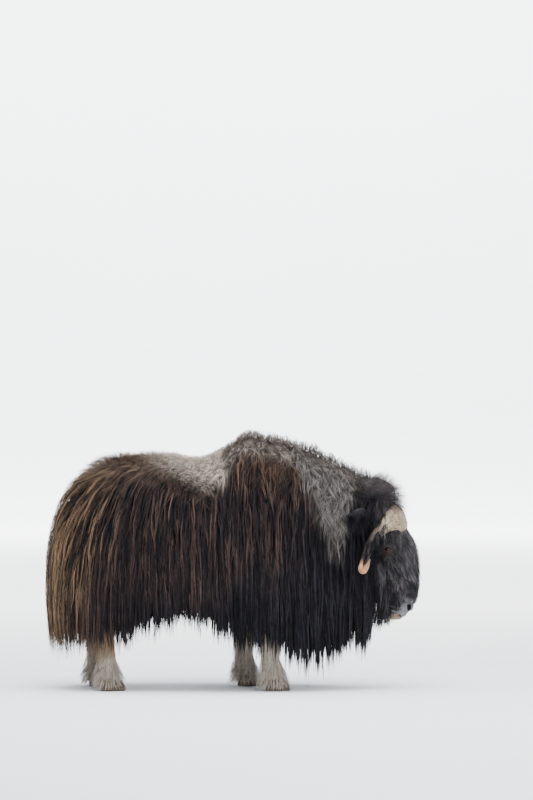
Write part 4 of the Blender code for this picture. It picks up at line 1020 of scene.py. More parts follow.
def tufts(draw, root, out, lie, length, sink, stand, bend, curl, clump, near, rings=5, wave=0.05):
    """Paths and ways out of short hairs. Near holds the hair's pull to its clump's own path."""
    n = len(root)
    t = np.linspace(0, 1, rings)[None, :, None]
    size = length[:, None, None]
    lift = -sink + (sink + stand[:, None, None]) * t ** 0.6
    own = root[:, None, :] + lie[:, None, :] * size * t + out[:, None, :] * lift
    own = own + bend[:, None, :] * size * t ** 2
    phase = draw.uniform(0, 1, clump.max() + 1)[clump][:, None, None] + 0.08 * draw.normal(size=(n, 1, 1))
    side = unit(np.cross(lie, out))[:, None, :]
    swing = np.sin(math.tau * (size / wave * t + phase)) * curl[:, None, None] * step(0.0, 0.4, t)
    own = own + side * swing + out[:, None, :] * np.roll(swing, 1, axis=1) * 0.5
    centre = np.zeros((clump.max() + 1, rings, 3))
    count = np.zeros(clump.max() + 1)
    np.add.at(centre, clump, own)
    np.add.at(count, clump, 1)
    centre = centre / np.maximum(count, 1)[:, None, None]
    pull = near[:, None, None] * step(0.0, 0.95, t)
    paths = own * (1 - pull) + centre[clump] * pull
    return paths, np.repeat(out[:, None, :], rings, axis=1)


def head_places(draw, count, per_clump, low, high, weigh, loose):
    """Places of hairs on the head, in clumps: height, signed share of the way round, and clump."""
    zs, round_way = np.linspace(low, high, 160), np.linspace(0, 1, 90)
    back, front, half, _ = head_slice(zs)
    z_, s_ = np.meshgrid(zs, round_way, indexing="ij")
    weight = ((front - back) / 2 + half)[:, None] * weigh(z_, s_)
    clumps = count // per_clump
    a, b = spread(draw, weight, clumps)
    side = np.where(np.arange(clumps) % 2, 1.0, -1.0)
    owner = np.repeat(np.arange(clumps), per_clump)
    z = np.clip(low + a[owner] * (high - low) + draw.normal(size=len(owner)) * loose, 0.377, 1.14)
    share = b[owner] + draw.normal(size=len(owner)) * loose / 0.33
    return z, share * side[owner], owner


def on_head(z, share):
    root, out = head_surface(z, share, -head_inset(z, share))
    root[:, 2] -= 0.016 * step(1.0, 1.148, root[:, 2])
    return root, out


def away_from_eye(root):
    across, up = root[:, 0] - EYE_PLACE.x, root[:, 2] - EYE_PLACE.z + 0.002
    return np.hypot(across, up) + 0.5 * (np.abs(root[:, 1]) < 0.06)


def clump_tone(draw, clumps, owner, power=1.6, stray=0.15):
    return np.clip(draw.uniform(0, 1, clumps)[owner] ** power + stray * draw.normal(size=len(owner)), 0, 1)


def face_hair(draw, count):
    """The shaggy short hair of the face, finest on the muzzle and round the eyes."""

    def weigh(z, a):
        fine = 1 + 1.6 * (1 - step(0.47, 0.53, z)) * (1 - step(0.5, 0.65, a))
        return fine * (1 - 0.8 * step(0.66, 0.80, a)) * (1 - step(0.86, 0.90, z) * (1 - step(0.5, 0.6, a)))

    z, share, owner = head_places(draw, count, 4, 0.385, 0.93, weigh, 0.0045)
    clumps, n, a = owner.max() + 1, len(owner), np.abs(share)
    root, out = on_head(z, share)
    eye = away_from_eye(root)
    muzzle = (1 - step(0.462, 0.492, z)) * (1 - step(0.46, 0.58, a))
    band = window(z, 0.470, 0.490, 0.530, 0.58) * (1 - step(0.4, 0.52, a))
    length = 0.040 + 0.035 * step(0.30, 0.60, a)
    length = length + (0.022 - length) * band
    length = length + (0.009 - length) * muzzle
    length = length * (0.25 + 0.75 * step(0.028, 0.062, eye))
    length = length * draw.uniform(0.70, 1.35, clumps)[owner] * draw.uniform(0.8, 1.1, n)
    lie = np.zeros((n, 3))
    lie[:, 2] = -1
    lie[:, 0] = 0.38 * window(a, 0.08, 0.22, 0.5, 0.62) * window(z, 0.50, 0.6, 0.78, 0.86) - 0.3 * muzzle
    lie = lie + draw.normal(size=(clumps, 3))[owner] * 0.20 + draw.normal(size=(n, 3)) * 0.10
    lie = unit(lie - out * (lie * out).sum(1, keepdims=True))
    stand = length * draw.uniform(0.10, 0.38, clumps)[owner] + 0.0015
    paths, outs = tufts(draw, root, out, lie, length, 0.003, stand, -out * 0.10,
                        0.0004 + 0.035 * length, owner, np.full(n, 0.45), 5, 0.06)
    keep = (eye > 0.0255) & ~((z < 0.410) & (a < 0.3))
    for s in (-1, 1):
        hole = face_point(NOSTRIL[1], s * NOSTRIL[0])
        keep &= np.linalg.norm((root - hole) * (1, 1, 0.68), axis=1) > 0.0165
    streak = clump_tone(draw, clumps, owner, 1.9, 0.18)
    uv = np.stack([0.02 + 0.30 * (share + 1), 0.02 + 0.9 * (z - 0.37) / 0.8], 1)
    width = np.interp(length, (0.008, 0.02, 0.06), (0.00055, 0.00075, 0.00090)) * draw.uniform(0.75, 1.2, n)
    return paths[keep], outs[keep], width[keep], streak[keep], uv[keep]


def beard_hair(draw, count):
    """The long hair of cheeks, jaw and throat, and the black hair that hangs behind the horns."""

    def weigh(z, a):
        jaw = step(0.44, 0.56, a) * (1 - step(0.58, 0.66, z))
        back = step(0.58, 0.70, a) * (1 - step(1.03, 1.09, z)) * 1.3
        temple = 1.6 * window(a, 0.30, 0.38, 0.62, 0.70) * window(z, 0.90, 0.94, 1.03, 1.07)
        return np.maximum(np.maximum(jaw, back), temple)

    z, share, owner = head_places(draw, count, 3, 0.43, 1.08, weigh, 0.007)
    clumps, n, a = owner.max() + 1, len(owner), np.abs(share)
    root, out = on_head(z, share)
    out[:, 2] = 0
    out = unit(out)
    low = np.interp(root[:, 0], (0.66, 0.72, 0.78, 0.83, 0.88, 0.93), (0.24, 0.26, 0.29, 0.33, 0.37, 0.40))
    length = np.minimum(root[:, 2] - low,
                        draw.uniform(0.14, 0.40, clumps)[owner] + 0.08 * (1 - step(0.5, 0.6, z)))
    temple = step(0.88, 0.92, z) * (1 - step(0.66, 0.74, a))
    length = length + (0.105 - length) * temple
    length = np.maximum(length * draw.uniform(0.78, 1.08, clumps)[owner] * draw.uniform(0.85, 1.03, n), 0.03)
    lie = np.zeros((n, 3))
    lie[:, 2] = -1
    lie[:, 0] = -0.05 - 0.15 * temple
    lie[:, 1] = np.sign(share) * (0.06 * step(0.7, 0.8, z) + 0.28 * temple)
    lie = unit(lie + draw.normal(size=(clumps, 3))[owner] * 0.05)
    stand = draw.uniform(0.010, 0.034, clumps)[owner] + draw.normal(size=n) * 0.003 + 0.020 * temple
    paths, outs = tufts(draw, root, out, lie, length, 0.004, stand, 0 * out, 0.0022 + 0 * length, owner,
                        np.full(n, 0.5), 8, 0.19)
    streak = clump_tone(draw, clumps, owner, 3.0, 0.08)
    uv = np.stack([0.64 + 0.17 * (share + 1), 0.02 + 0.9 * (z - 0.37) / 0.8], 1)
    return paths, outs, 0.0016 * draw.uniform(0.7, 1.2, n), streak, uv


def ear_hair(draw, count):
    """The fringe that hangs from the ears and hides them."""
    per = count // 2
    side = np.repeat((-1.0, 1.0), per)
    n = len(side)
    share, round_way = draw.uniform(0.02, 1.0, n), draw.uniform(-math.pi, math.pi, n)
    root = np.array(EAR_ROOT) + (np.array(EAR_TIP) - np.array(EAR_ROOT)) * share[:, None]
    thick = np.interp(share, (0, 0.45, 0.9, 1.0), (0.018, 0.025, 0.012, 0.003))
    ring = np.stack([np.sin(round_way) * 0.55, 0 * share, np.cos(round_way)], 1)
    keep = ~((ring[:, 0] > 0.35) & (share > 0.25) & (share < 0.70) & (ring[:, 2] < 0.4))
    root = (root + ring * thick[:, None]) * np.stack([0 * side + 1, side, 0 * side + 1], 1)
    out = unit(ring + np.stack([0 * side, side * 0.4, 0.4 + 0 * side], 1))
    fall = [-0.25 + 0.6 * np.maximum(0, ring[:, 0]), side * (0.45 + 0.25 * share), -0.75 + 0 * side]
    lie = unit(np.stack(fall, 1) + draw.normal(size=(n, 3)) * 0.14)
    lie = unit(lie - out * np.minimum(0, (lie * out).sum(1, keepdims=True)))
    bend = np.stack([0 * side, 0 * side, -0.45 + 0.40 * np.maximum(0, out[:, 2])], 1)
    length = 0.070 * draw.uniform(0.6, 1.4, n)
    owner = np.minimum((share * 18).astype(int), 17) + 18 * (side > 0)
    paths, outs = tufts(draw, root, out, lie, length, 0.004, 0.014 + 0 * length, bend,
                        0.002 + 0 * length, owner, np.full(n, 0.20), 5, 0.07)
    uv = np.stack([0.02 + 0.4 * share + 0.5 * (side > 0), 0.93 + 0.05 * (round_way / 6.4 + 0.5)], 1)
    streak = clump_tone(draw, 36, owner, 2.0, 0.25)
    return paths[keep], outs[keep], (0.0012 + 0 * length)[keep], streak[keep], uv[keep]


CAP_PLACE, CAP_REACH = np.array((0.752, 0, 0.990)), (0.168, 0.250, 0.166, 0.184)


def cap_hair(draw, count):
    """The woolly cap that grows from the neck's end and the poll, combed forward to hang over the boss."""
    per, rings = 4, 5
    clumps = count // per
    theta0 = np.arccos(1 - (np.arange(clumps) + draw.uniform(0, 1, clumps)) / clumps * 1.10)
    phi0 = (np.arange(clumps) * GOLDEN_ANGLE + draw.uniform(-0.2, 0.2, clumps)) % math.tau
    owner = np.repeat(np.arange(clumps), per)
    n = len(owner)
    theta = theta0[owner] + draw.normal(size=n) * 0.050
    phi = phi0[owner] + draw.normal(size=n) * 0.050 / np.maximum(0.25, np.sin(theta0[owner]))
    length = draw.uniform(0.035, 0.075, clumps)[owner] * draw.uniform(0.8, 1.1, n)
    t = np.linspace(0, 1, rings)[None, :]
    near = 1 - 0.45 * step(0, 0.9, t)
    lean = draw.normal(size=clumps)[owner][:, None] * 0.45
    wave = draw.uniform(0, 1, clumps)[owner][:, None] + 0.10 * draw.normal(size=(n, 1))
    theta_t = theta0[owner][:, None] + (theta - theta0[owner])[:, None] * near
    droop = (0.16 + 0.5 * step(1.0, 1.5, theta0))[owner][:, None] * draw.uniform(0.3, 1.4, (n, 1))
    beat, grown = math.tau * (1.4 * t + wave), step(0, 0.5, t)
    theta_t = theta_t + length[:, None] / 0.17 * droop * t + 0.022 * np.cos(beat) * grown
    phi_t = phi0[owner][:, None] + (phi - phi0[owner])[:, None] * near
    phi_t = phi_t + lean * t * length[:, None] / 0.17 + 0.026 * np.sin(beat) * grown
    stands = 0.70 + length[:, None] / 0.155 * draw.uniform(0.75, 1.0, (n, 1))
    stands = np.minimum(stands, 1.08 + 0.03 * draw.normal(size=(n, 1)))
    lift = 0.70 + (stands - 0.70) * t ** 0.9
    front, back, wide, tall = CAP_REACH
    c = np.cos(phi_t)
    reach = np.where(c > 0, front, back)
    flat = np.sin(np.minimum(theta_t, math.pi / 2)) * lift
    x, y = reach * c * flat, wide * np.sin(phi_t) * flat
    z = tall * np.where(theta_t < math.pi / 2, np.cos(theta_t), -(theta_t - math.pi / 2)) * lift
    z = z + 0.42 * np.maximum(0, -x) * np.cos(np.minimum(theta_t, 1.5))
    paths = CAP_PLACE + np.stack([x + (0.30 + 0.15 * c) * length[:, None] * t ** 1.3, y, z], -1)
    outs = unit(np.stack([x / reach**2, y / wide**2, np.maximum(z, 0) / tall**2], -1))
    outs = unit(outs + np.stack([0 * x, 0 * x, 0 * x + 0.4], -1))
    uv = np.stack([0.5 + 0.46 * np.sin(theta) * np.cos(phi), 0.5 + 0.46 * np.sin(theta) * np.sin(phi)], 1)
    streak = 0.15 + 0.7 * clump_tone(draw, clumps, owner, 1.1, 0.20)
    return paths, outs, 0.00085 * draw.uniform(0.7, 1.2, n), streak, uv


def horn_fringe(draw, count):
    """The dark hair that grows behind each horn and falls over its edges."""
    tufts_each = count // 9
    share = np.repeat(draw.uniform(0.30, 0.60, 2 * tufts_each), 4)
    side = np.repeat(np.where(np.arange(2 * tufts_each) % 2, 1.0, -1.0), 4)
    n, owner = len(side), np.repeat(np.arange(2 * tufts_each), 4)
    path = curve_through([tuple(h) for h in HORN_PATH], 8)
    at = np.stack([np.interp(share, np.linspace(0, 1, len(path)), path[:, k]) for k in range(5)], 1)
    place = np.repeat(draw.uniform(-1.3, 0.5, 2 * tufts_each), 4)
    out = unit(np.stack([place, side * 0.8, 0.30 - 0.4 * place], 1))
    root = at[:, :3] * np.stack([1 + 0 * side, side, 1 + 0 * side], 1) + out * at[:, 3:4] * 0.96
    root = root + draw.normal(size=(2 * tufts_each, 3))[owner] * 0.003
    lie = np.stack([-0.10 - 0.20 * place, side * 0.36, -1 + 0 * side], 1)
    lie = unit(lie + draw.normal(size=(2 * tufts_each, 3))[owner] * 0.13 + draw.normal(size=(n, 3)) * 0.06)
    length = draw.uniform(0.035, 0.10, 2 * tufts_each)[owner] * draw.uniform(0.85, 1.1, n)
    paths, outs = tufts(draw, root, out, lie, length, 0.006, 0.004 + 0 * length, 0 * out, 0.002 + 0 * length,
                        owner, np.full(n, 0.45), 6, 0.11)
    uv = np.stack([0.30 + 0.20 * share + 0.25 * (side > 0), 0.005 + 0.012 * (owner % 7) / 7], 1)
    width = 0.0012 * draw.uniform(0.7, 1.2, n)
    return paths, outs, width, clump_tone(draw, 2 * tufts_each, owner, 2.5, 0.1), uv


def leg_hair(draw, foot, count):
    """Short hair down a leg, longest at the fetlock, where it spreads over the hoof."""
    per = 4
    clumps = count // per
    top = 0.62 if foot.name.startswith("hind") else 0.60
    share0 = ((np.arange(clumps) + draw.uniform(0, 1, clumps)) / clumps) ** 1.55 * top
    angle0 = (np.arange(clumps) * GOLDEN_ANGLE) % math.tau
    owner = np.repeat(np.arange(clumps), per)
    n = len(owner)
    share = np.clip(share0[owner] + draw.normal(size=n) * 0.010, 0.0, 1)
    angle = angle0[owner] + draw.normal(size=n) * 0.08
    root, out = leg_surface(foot, share, angle, -0.006)
    rear = np.maximum(0, -np.cos(angle))
    low = 1 - step(0.08, 0.26, share)
    length = 0.034 + 0.030 * step(0.2, 0.5, share) + (0.026 + 0.004 * rear) * low
    length = length * draw.uniform(0.75, 1.2, clumps)[owner] * draw.uniform(0.8, 1.1, n)
    length = np.minimum(length, (root[:, 2] - 0.006) * 1.15)
    lie = np.zeros((n, 3))
    lie[:, 2] = -1
    lie[:, 0] -= 0.04 + 0.10 * rear
    lie = unit(lie + 0.07 * draw.normal(size=(clumps, 3))[owner] + 0.04 * draw.normal(size=(n, 3)))
    stand = length * draw.uniform(0.04, 0.12, clumps)[owner] + 0.003 + length * 0.46 * low
    paths, outs = tufts(draw, root, out, lie, length, 0.003, stand, 0 * out, 0.0006 + 0.01 * length, owner,
                        np.full(n, 0.35), 4)
    paths[..., 2] = np.maximum(paths[..., 2], 0.004)
    uv = np.stack([(angle % math.tau) / math.tau * 0.23 + 0.01 + 0.25 * FEET.index(foot),
                   0.02 + 0.9 * share], 1)
    streak = 0.25 + 0.55 * clump_tone(draw, clumps, owner, 1.0, 0.25)
    return paths, outs, 0.00095 * draw.uniform(0.7, 1.2, n), streak, uv


def toned_strands(hair, tone, tones, dark_root=0.45, turn=True):
    """One batch of strands with their colours, on the head as it is turned."""
    paths, outs, width, streak, uv = hair
    t = np.linspace(0, 1, paths.shape[1])
    taper = np.interp(t, (0, 0.15, 0.7, 0.9, 1), (0.75, 1.0, 0.85, 0.5, 0.1))
    colours = tone(np.broadcast_to(paths[:, :1], paths.shape),
                   np.clip(streak[:, None] * (0.85 + 0.2 * t[None, :]), 0, 1), tones)
    # Painted shade: each strand is darker towards its root, where the depth of the hair shades it
    colours = colours * (dark_root + (1 - dark_root) * np.minimum(1, t / 0.4))[None, :, None]
    if turn:
        paths, outs = turned(paths), turned_way(outs)
    return strands(paths, outs, width, 0.6, taper, uv, colours)


def build_head_hair(tones, counts):
    draw = np.random.default_rng(SEED + 3)
    face, beard, ears, cap = (make(draw, count) for make, count in
                              zip((face_hair, beard_hair, ear_hair, cap_hair), counts))
    fringe = horn_fringe(draw, counts[2])
    return [
        strand_piece("face_coat", [toned_strands(face, head_tone, tones)]),
        strand_piece("beard_coat", [toned_strands(h, head_tone, tones) for h in (beard, ears, fringe)]),
        strand_piece("cap_coat", [toned_strands(cap, head_tone, tones, 0.30)]),
    ]


def build_leg_hair(tones, count):
    draw = np.random.default_rng(SEED + 5)
    batches = [toned_strands(leg_hair(draw, foot, count), leg_tone, tones, 0.6, False) for foot in FEET]
    return strand_piece("leg_coat", batches)


# Horns, eyes and hooves

def horn_frame(side, steps):
    knots = curve_through([tuple(h) for h in HORN_PATH], steps)
    path = knots[:, :3] * (1, side, 1)
    share = np.linspace(0, 1, len(knots))
    out = blend(np.tile((1.0, 0, 0.35), (len(share), 1)), np.tile((0.25, side, 0.15), (len(share), 1)),
                np.minimum(1, share * 3.2))
    out = blend(out, np.tile((-0.1, side * 0.9, -0.9), (len(share), 1)), step(0.60, 0.85, share))
    way = unit(np.gradient(path, axis=0))
    across = unit(np.cross(way, out))
    return knots, path, share, across, unit(np.cross(across, way))


def horn(side):
    """A horn with the boss's fibrous grooves and cracks, worn smooth towards its tip."""
    knots, path, share, across, out = horn_frame(side, 12)
    count = 72
    rings = np.array([
        loop_points(p, ax, o, w, d, count, 2.2)
        for p, ax, o, w, d in zip(path, across, out, knots[:, 3], knots[:, 4])
    ])
    rings = with_poles(rings)
    name = "horn_left_shell" if side > 0 else "horn_right_shell"
    bm = bmesh.new()
    skinned(bm, rings)
    cut = 0.0012
    bmesh.ops.bisect_plane(
        bm, geom=bm.verts[:] + bm.edges[:] + bm.faces[:], plane_co=(0, side * cut, 0), plane_no=(0, -side, 0),
        clear_outer=True,
    )
    bmesh.ops.holes_fill(bm, edges=[e for e in bm.edges if e.is_boundary], sides=0)
    bmesh.ops.triangulate(bm, faces=[f for f in bm.faces if len(f.verts) > 4])
    bmesh.ops.recalc_face_normals(bm, faces=bm.faces)
    obj = new_object(name, bm, "root")
    mesh = obj.data
    p, n = coords(mesh), coords(mesh, "vertices", "normal")
    nearest = np.array([np.argmin(np.sum((path - q) ** 2, 1)) for q in p])
    s = share[nearest]
    off = p - path[nearest]
    v = np.arctan2((off * out[nearest]).sum(1) / knots[nearest, 4],
                   (off * across[nearest]).sum(1) / knots[nearest, 3])
    rough = 1 - step(0.18, 0.55, s)
    grain = ripple(np.stack([s * 0.35, np.cos(v) * 0.5, np.sin(v) * 0.5], 1), 0.10, 8)
    fine = ripple(np.stack([s * 0.10, np.cos(v) * 0.7, np.sin(v) * 0.7], 1), 0.045, 9)
    grooves = ripple(np.stack([s * 0.4, v * 0.35, 0 * v], 1) + 0.02 * grain[:, None], 0.075, 10)
    push = rough * (0.0022 * grain + 0.0016 * fine - 0.0030 * step(0.45, 0.9, grooves))
    push += 0.0006 * np.sin(s * math.tau * 16 + grain) * step(0.2, 0.4, s) * (1 - step(0.8, 0.95, s))
    push += 0.0005 * fine
    push *= step(0.004, 0.012, np.abs(p[:, 1]))
    mesh.vertices.foreach_set("co", (p + n * push[:, None]).astype(np.float32).ravel())
    store(mesh, "along", s)
    pit = np.clip(0.5 * step(0.2, 0.9, grooves) + 0.45 * step(0.1, 0.8, -grain), 0, 1)
    store(mesh, "pit", pit * (0.35 + 0.65 * rough))
    store(mesh, "grain", np.stack([s * 0.9, np.cos(v) * 0.05, np.sin(v) * 0.05], 1))
    mesh.transform(TURN)
    mesh.update()
    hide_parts("horn_left" if side > 0 else "horn_right")
    return obj


def eye(side):
    """The eyeball with its clear bulge and the sideways pupil, in one closed shell."""
    name = "eye_left_ball" if side > 0 else "eye_right_ball"
    bm = bmesh.new()
    bmesh.ops.create_uvsphere(bm, u_segments=48, v_segments=36, radius=EYE_RADIUS)
    ahead = Vector((0.42, side * 0.90, -0.05)).normalized()
    for v in bm.verts:
        toward = v.co.normalized().dot(ahead)
        v.co *= 1 + 0.075 * max(0.0, (toward - 0.80) / 0.20) ** 1.5
    turn = Matrix.Translation((EYE_PLACE.x, side * EYE_PLACE.y, EYE_PLACE.z))
    bmesh.ops.transform(bm, matrix=turn, verts=bm.verts)
    obj = new_object(name, bm, "root")
    mesh = obj.data
    p = coords(mesh) - np.array((EYE_PLACE.x, side * EYE_PLACE.y, EYE_PLACE.z))
    d = unit(p)
    ahead = np.array(ahead)
    toward = d @ ahead
    flat = unit(np.cross(np.array((0, 0, 1.0)), ahead))
    tall = np.cross(ahead, flat)
    store(mesh, "gaze", np.stack([d @ flat, d @ tall, toward], 1))
    mesh.transform(TURN)
    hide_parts("eye_left" if side > 0 else "eye_right")
    return obj


def hoof(foot):
    """Two claws with growth rings and flat soles, joined by the band round their top."""
    centre = np.array((foot.x + 0.012, foot.y, 0))
    heights = np.concatenate([[0.0, 0.002, 0.006], np.linspace(0.010, HOOF_HEIGHT - 0.004, 16)])
    t = np.arange(48) / 48 * math.tau
    c, s = np.cos(t), np.sin(t)
    parts = []
    for side in (-1, 1):
        rings = []
        for z in heights:
            fore, rear, wide = (
                np.interp(z, (0, 0.006, 0.030, HOOF_HEIGHT - 0.004), row)
                for row in ((1.0, 1.04, 0.95, 0.74), (0.80, 0.84, 0.78, 0.66), (0.96, 1.02, 0.98, 0.80))
            )
            above = float(step(0.006, 0.016, z))
            ridge = 1 + 0.012 * math.sin(z * math.tau / 0.0065) * above - 0.02 * float(z == 0)
            x = CLAW_LENGTH * np.where(c > 0, fore, rear) * np.sign(c) * np.abs(c) ** 0.85 * ridge + 0.012
            toe = np.maximum(0, c)
            y = CLAW_WIDTH * wide * s * (1 - 0.30 * toe) * ridge - side * 0.012 * toe
            rings.append(np.stack([centre[0] + x, centre[1] + side * CLAW_SPREAD + y, 0 * x + z], 1))
        parts.append(closed_loft("claw", with_poles(np.array(rings))))
    band = np.array([
        loop_points(centre + (0, 0, z), (1, 0, 0), (0, 1, 0), a, b, 48, 2.2)
        for z, a, b in ((0.030, 0.056, 0.052), (0.045, 0.058, 0.054), (HOOF_HEIGHT - 0.003, 0.056, 0.052))
    ])
    name = "hoof_" + foot.name.replace("leg", "")
    obj = closed_loft(name + "_claws", with_poles(band))
    bpy.context.view_layer.update()
    combine(obj, parts, "UNION")
    mesh = obj.data
    mesh.polygons.foreach_set("use_smooth", np.ones(len(mesh.polygons), bool))
    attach(obj, "root")
    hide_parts(name)
    return obj


# Materials

class Nodes:
    """A short way to lay out a material's nodes."""

    def __init__(self, name):
        self.material = bpy.data.materials.new(name)
        self.material.use_nodes = True
        self.tree = self.material.node_tree
        self.shader = self.tree.nodes["Principled BSDF"]

    def add(self, kind, inputs=(), **settings):
        node = self.tree.nodes.new(kind)
        for key, value in settings.items():
            setattr(node, key, value)
        for key, value in dict(inputs).items():
            self.set(node, key, value)
        return node

    def set(self, node, key, value):
        socket = node.inputs[key]
        if isinstance(value, bpy.types.NodeSocket):
            self.tree.links.new(value, socket)
        else:
            socket.default_value = value

    def noise(self, scale, detail=3.0, stretch=(1, 1, 1), where=None, rough=0.55):
        where = where or self.add("ShaderNodeTexCoord").outputs["Object"]
        place = self.add("ShaderNodeMapping", {"Vector": where, "Scale": stretch})
        node = self.add("ShaderNodeTexNoise", {"Vector": place.outputs[0], "Scale": scale, "Detail": detail,
                                               "Roughness": rough})
        return node.outputs["Fac"]

    def ramp(self, value, *stops):
        node = self.add("ShaderNodeValToRGB", {"Fac": value})
        ramp = node.color_ramp
        while len(ramp.elements) < len(stops):
            ramp.elements.new(0.5)
        for element, (place, colour) in zip(ramp.elements, stops):
            element.position = place
            element.color = (*(colour if hasattr(colour, "__len__") else (colour,) * 3), 1)
        return node.outputs["Color"]

    def mix(self, kind, a, b, share):
        node = self.add("ShaderNodeMix", data_type="RGBA", blend_type=kind)
        for index, value in ((0, share), (6, a), (7, b)):
            if isinstance(value, bpy.types.NodeSocket):
                self.tree.links.new(value, node.inputs[index])
            else:
                node.inputs[index].default_value = value if index == 0 else (*value, 1)
        return node.outputs[2]

    def bump(self, height, distance, strength=1.0):
        node = self.add("ShaderNodeBump", {"Height": height, "Distance": distance, "Strength": strength})
        self.set(self.shader, "Normal", node.outputs[0])

    def attribute(self, name, output="Color"):
        return self.add("ShaderNodeAttribute", attribute_name=name).outputs[output]

    def finish(self, colour=None, roughness=None, **fixed):
        if colour is not None:
            self.set(self.shader, "Base Color", colour)
        if roughness is not None:
            self.set(self.shader, "Roughness", roughness)
        for key, value in fixed.items():
            self.set(self.shader, key.replace("_", " "), value)
        return self.material


def hair_material(name, fine, roughness, specular):
    """Hair: each strand has its own tone, with fine fibres along it."""
    nodes = Nodes(name)
    fibre = nodes.noise(fine, 2.0, (1, 1, 0.12))
    worn = nodes.noise(9.0, 3.0)
    tone = nodes.mix("MULTIPLY", nodes.attribute("tone"), nodes.ramp(fibre, (0.25, 0.72), (0.75, 1.25)), 1.0)
    tone = nodes.mix("MULTIPLY", tone, nodes.ramp(worn, (0.3, 0.85), (0.7, 1.12)), 1.0)
    nodes.bump(fibre, 0.0006, 0.5)
    rough = nodes.ramp(fibre, (0.3, roughness - 0.08), (0.7, roughness + 0.08))
    return nodes.finish(tone, rough, Specular_IOR_Level=specular)


def skin_material():
    """Skin under short flat fur: fine hair as bump, darker between the hairs."""
    nodes = Nodes("skin_fur")
    fibre = nodes.noise(420.0, 3.0, (1, 1, 0.22))
    patch = nodes.noise(22.0, 3.0)
    tone = nodes.mix("MULTIPLY", nodes.attribute("tone"), nodes.ramp(fibre, (0.3, 0.62), (0.7, 1.2)), 1.0)
    tone = nodes.mix("MULTIPLY", tone, nodes.ramp(patch, (0.3, 0.85), (0.7, 1.12)), 1.0)
    nodes.bump(fibre, 0.0012, 0.7)
    return nodes.finish(tone, nodes.ramp(fibre, (0.3, 0.55), (0.7, 0.8)), Specular_IOR_Level=0.3)


def horn_material(colours):
    nodes = Nodes("horn")
    along = nodes.attribute("along", "Fac")
    grain = nodes.noise(60.0, 4.0, (0.6, 1, 1), nodes.attribute("grain", "Vector"))
    speck = nodes.noise(150.0, 3.0, (1, 1, 1), rough=0.7)
    base = nodes.ramp(along, (0.0, colours["boss"]), (0.32, colours["boss"]), (0.44, colours["horn_middle"]),
                      (0.62, colours["horn_middle"]), (0.70, colours["horn_hook"]),
                      (0.85, colours["horn_hook"]), (1.0, colours["horn_tip"]))
    base = nodes.mix("MULTIPLY", base,
                     nodes.ramp(grain, (0.30, (0.50, 0.45, 0.40)), (0.62, (1.12, 1.10, 1.08))), 1.0)
    base = nodes.mix("MIX", base, colours["horn_crack"],
                     nodes.ramp(nodes.attribute("pit", "Fac"), (0.15, 0.0), (0.9, 0.85)))
    base = nodes.mix("MIX", base, colours["horn_crack"], nodes.ramp(speck, (0.53, 0.0), (0.66, 0.62)))
    blotch = nodes.noise(38.0, 5.0, (1, 1, 1), rough=0.75)
    stain = nodes.mix("MULTIPLY", nodes.ramp(blotch, (0.50, (0, 0, 0)), (0.60, (0.7, 0.7, 0.7))),
                      nodes.ramp(along, (0.22, (1, 1, 1)), (0.36, (0, 0, 0))), 1.0)
    base = nodes.mix("MIX", base, colours["horn_stain"], stain)
    nodes.bump(grain, 0.0016, 0.8)
    return nodes.finish(base, nodes.ramp(grain, (0.3, 0.62), (0.7, 0.42)), Specular_IOR_Level=0.4)


def eye_material(colours):
    nodes = Nodes("eye")
    gaze = nodes.attribute("gaze", "Vector")
    split = nodes.add("ShaderNodeSeparateXYZ", {"Vector": gaze})
    wide = nodes.add("ShaderNodeMath", {0: split.outputs[0], 1: 0.62}, operation="MULTIPLY").outputs[0]
    both = nodes.add("ShaderNodeCombineXYZ", {"X": wide, "Y": split.outputs[1]}).outputs[0]
    pupil = nodes.add("ShaderNodeVectorMath", {0: both}, operation="LENGTH").outputs["Value"]
    front = split.outputs[2]
    ring = nodes.ramp(front, (0.72, 1.0), (0.80, 0.0))
    threads = nodes.noise(26.0, 4.0, (1, 1, 0.2), gaze)
    iris = nodes.mix("MULTIPLY", colours["iris"], nodes.ramp(threads, (0.3, 0.4), (0.7, 1.3)), 1.0)
    colour = nodes.mix("MIX", (0.004, 0.003, 0.003), iris, nodes.ramp(pupil, (0.16, 0.0), (0.20, 1.0)))
    colour = nodes.mix("MIX", colour, colours["eye_white"], ring)
    return nodes.finish(colour, 0.10, Specular_IOR_Level=0.20, Coat_Weight=0.12, Coat_Roughness=0.04)


def hoof_material(colours):
    nodes = Nodes("hoof")
    rings = nodes.noise(90.0, 3.0, (0.15, 0.15, 1.6))
    patch = nodes.noise(30.0, 4.0)
    base = nodes.mix("MIX", colours["hoof"], colours["hoof_worn"],
                     nodes.ramp(rings, (0.42, 0.0), (0.68, 0.8)))
    base = nodes.mix("MULTIPLY", base, nodes.ramp(patch, (0.3, 0.7), (0.7, 1.2)), 1.0)
    nodes.bump(rings, 0.0010, 0.7)
    return nodes.finish(base, nodes.ramp(patch, (0.3, 0.45), (0.7, 0.65)), Specular_IOR_Level=0.35)


# Where the floor bends up into the backdrop, the bend's radius, and how bright the floor glows far
# behind the animal, so that it meets the backdrop without a band
BEND, SWEEP, FAR_GLOW = 24, 5, 2.4
# The camera's place, a little higher than the hump, and its lens in millimetres
CAMERA_PLACE, CAMERA_LENS = (0.186, -20.0, 1.555), 166.7


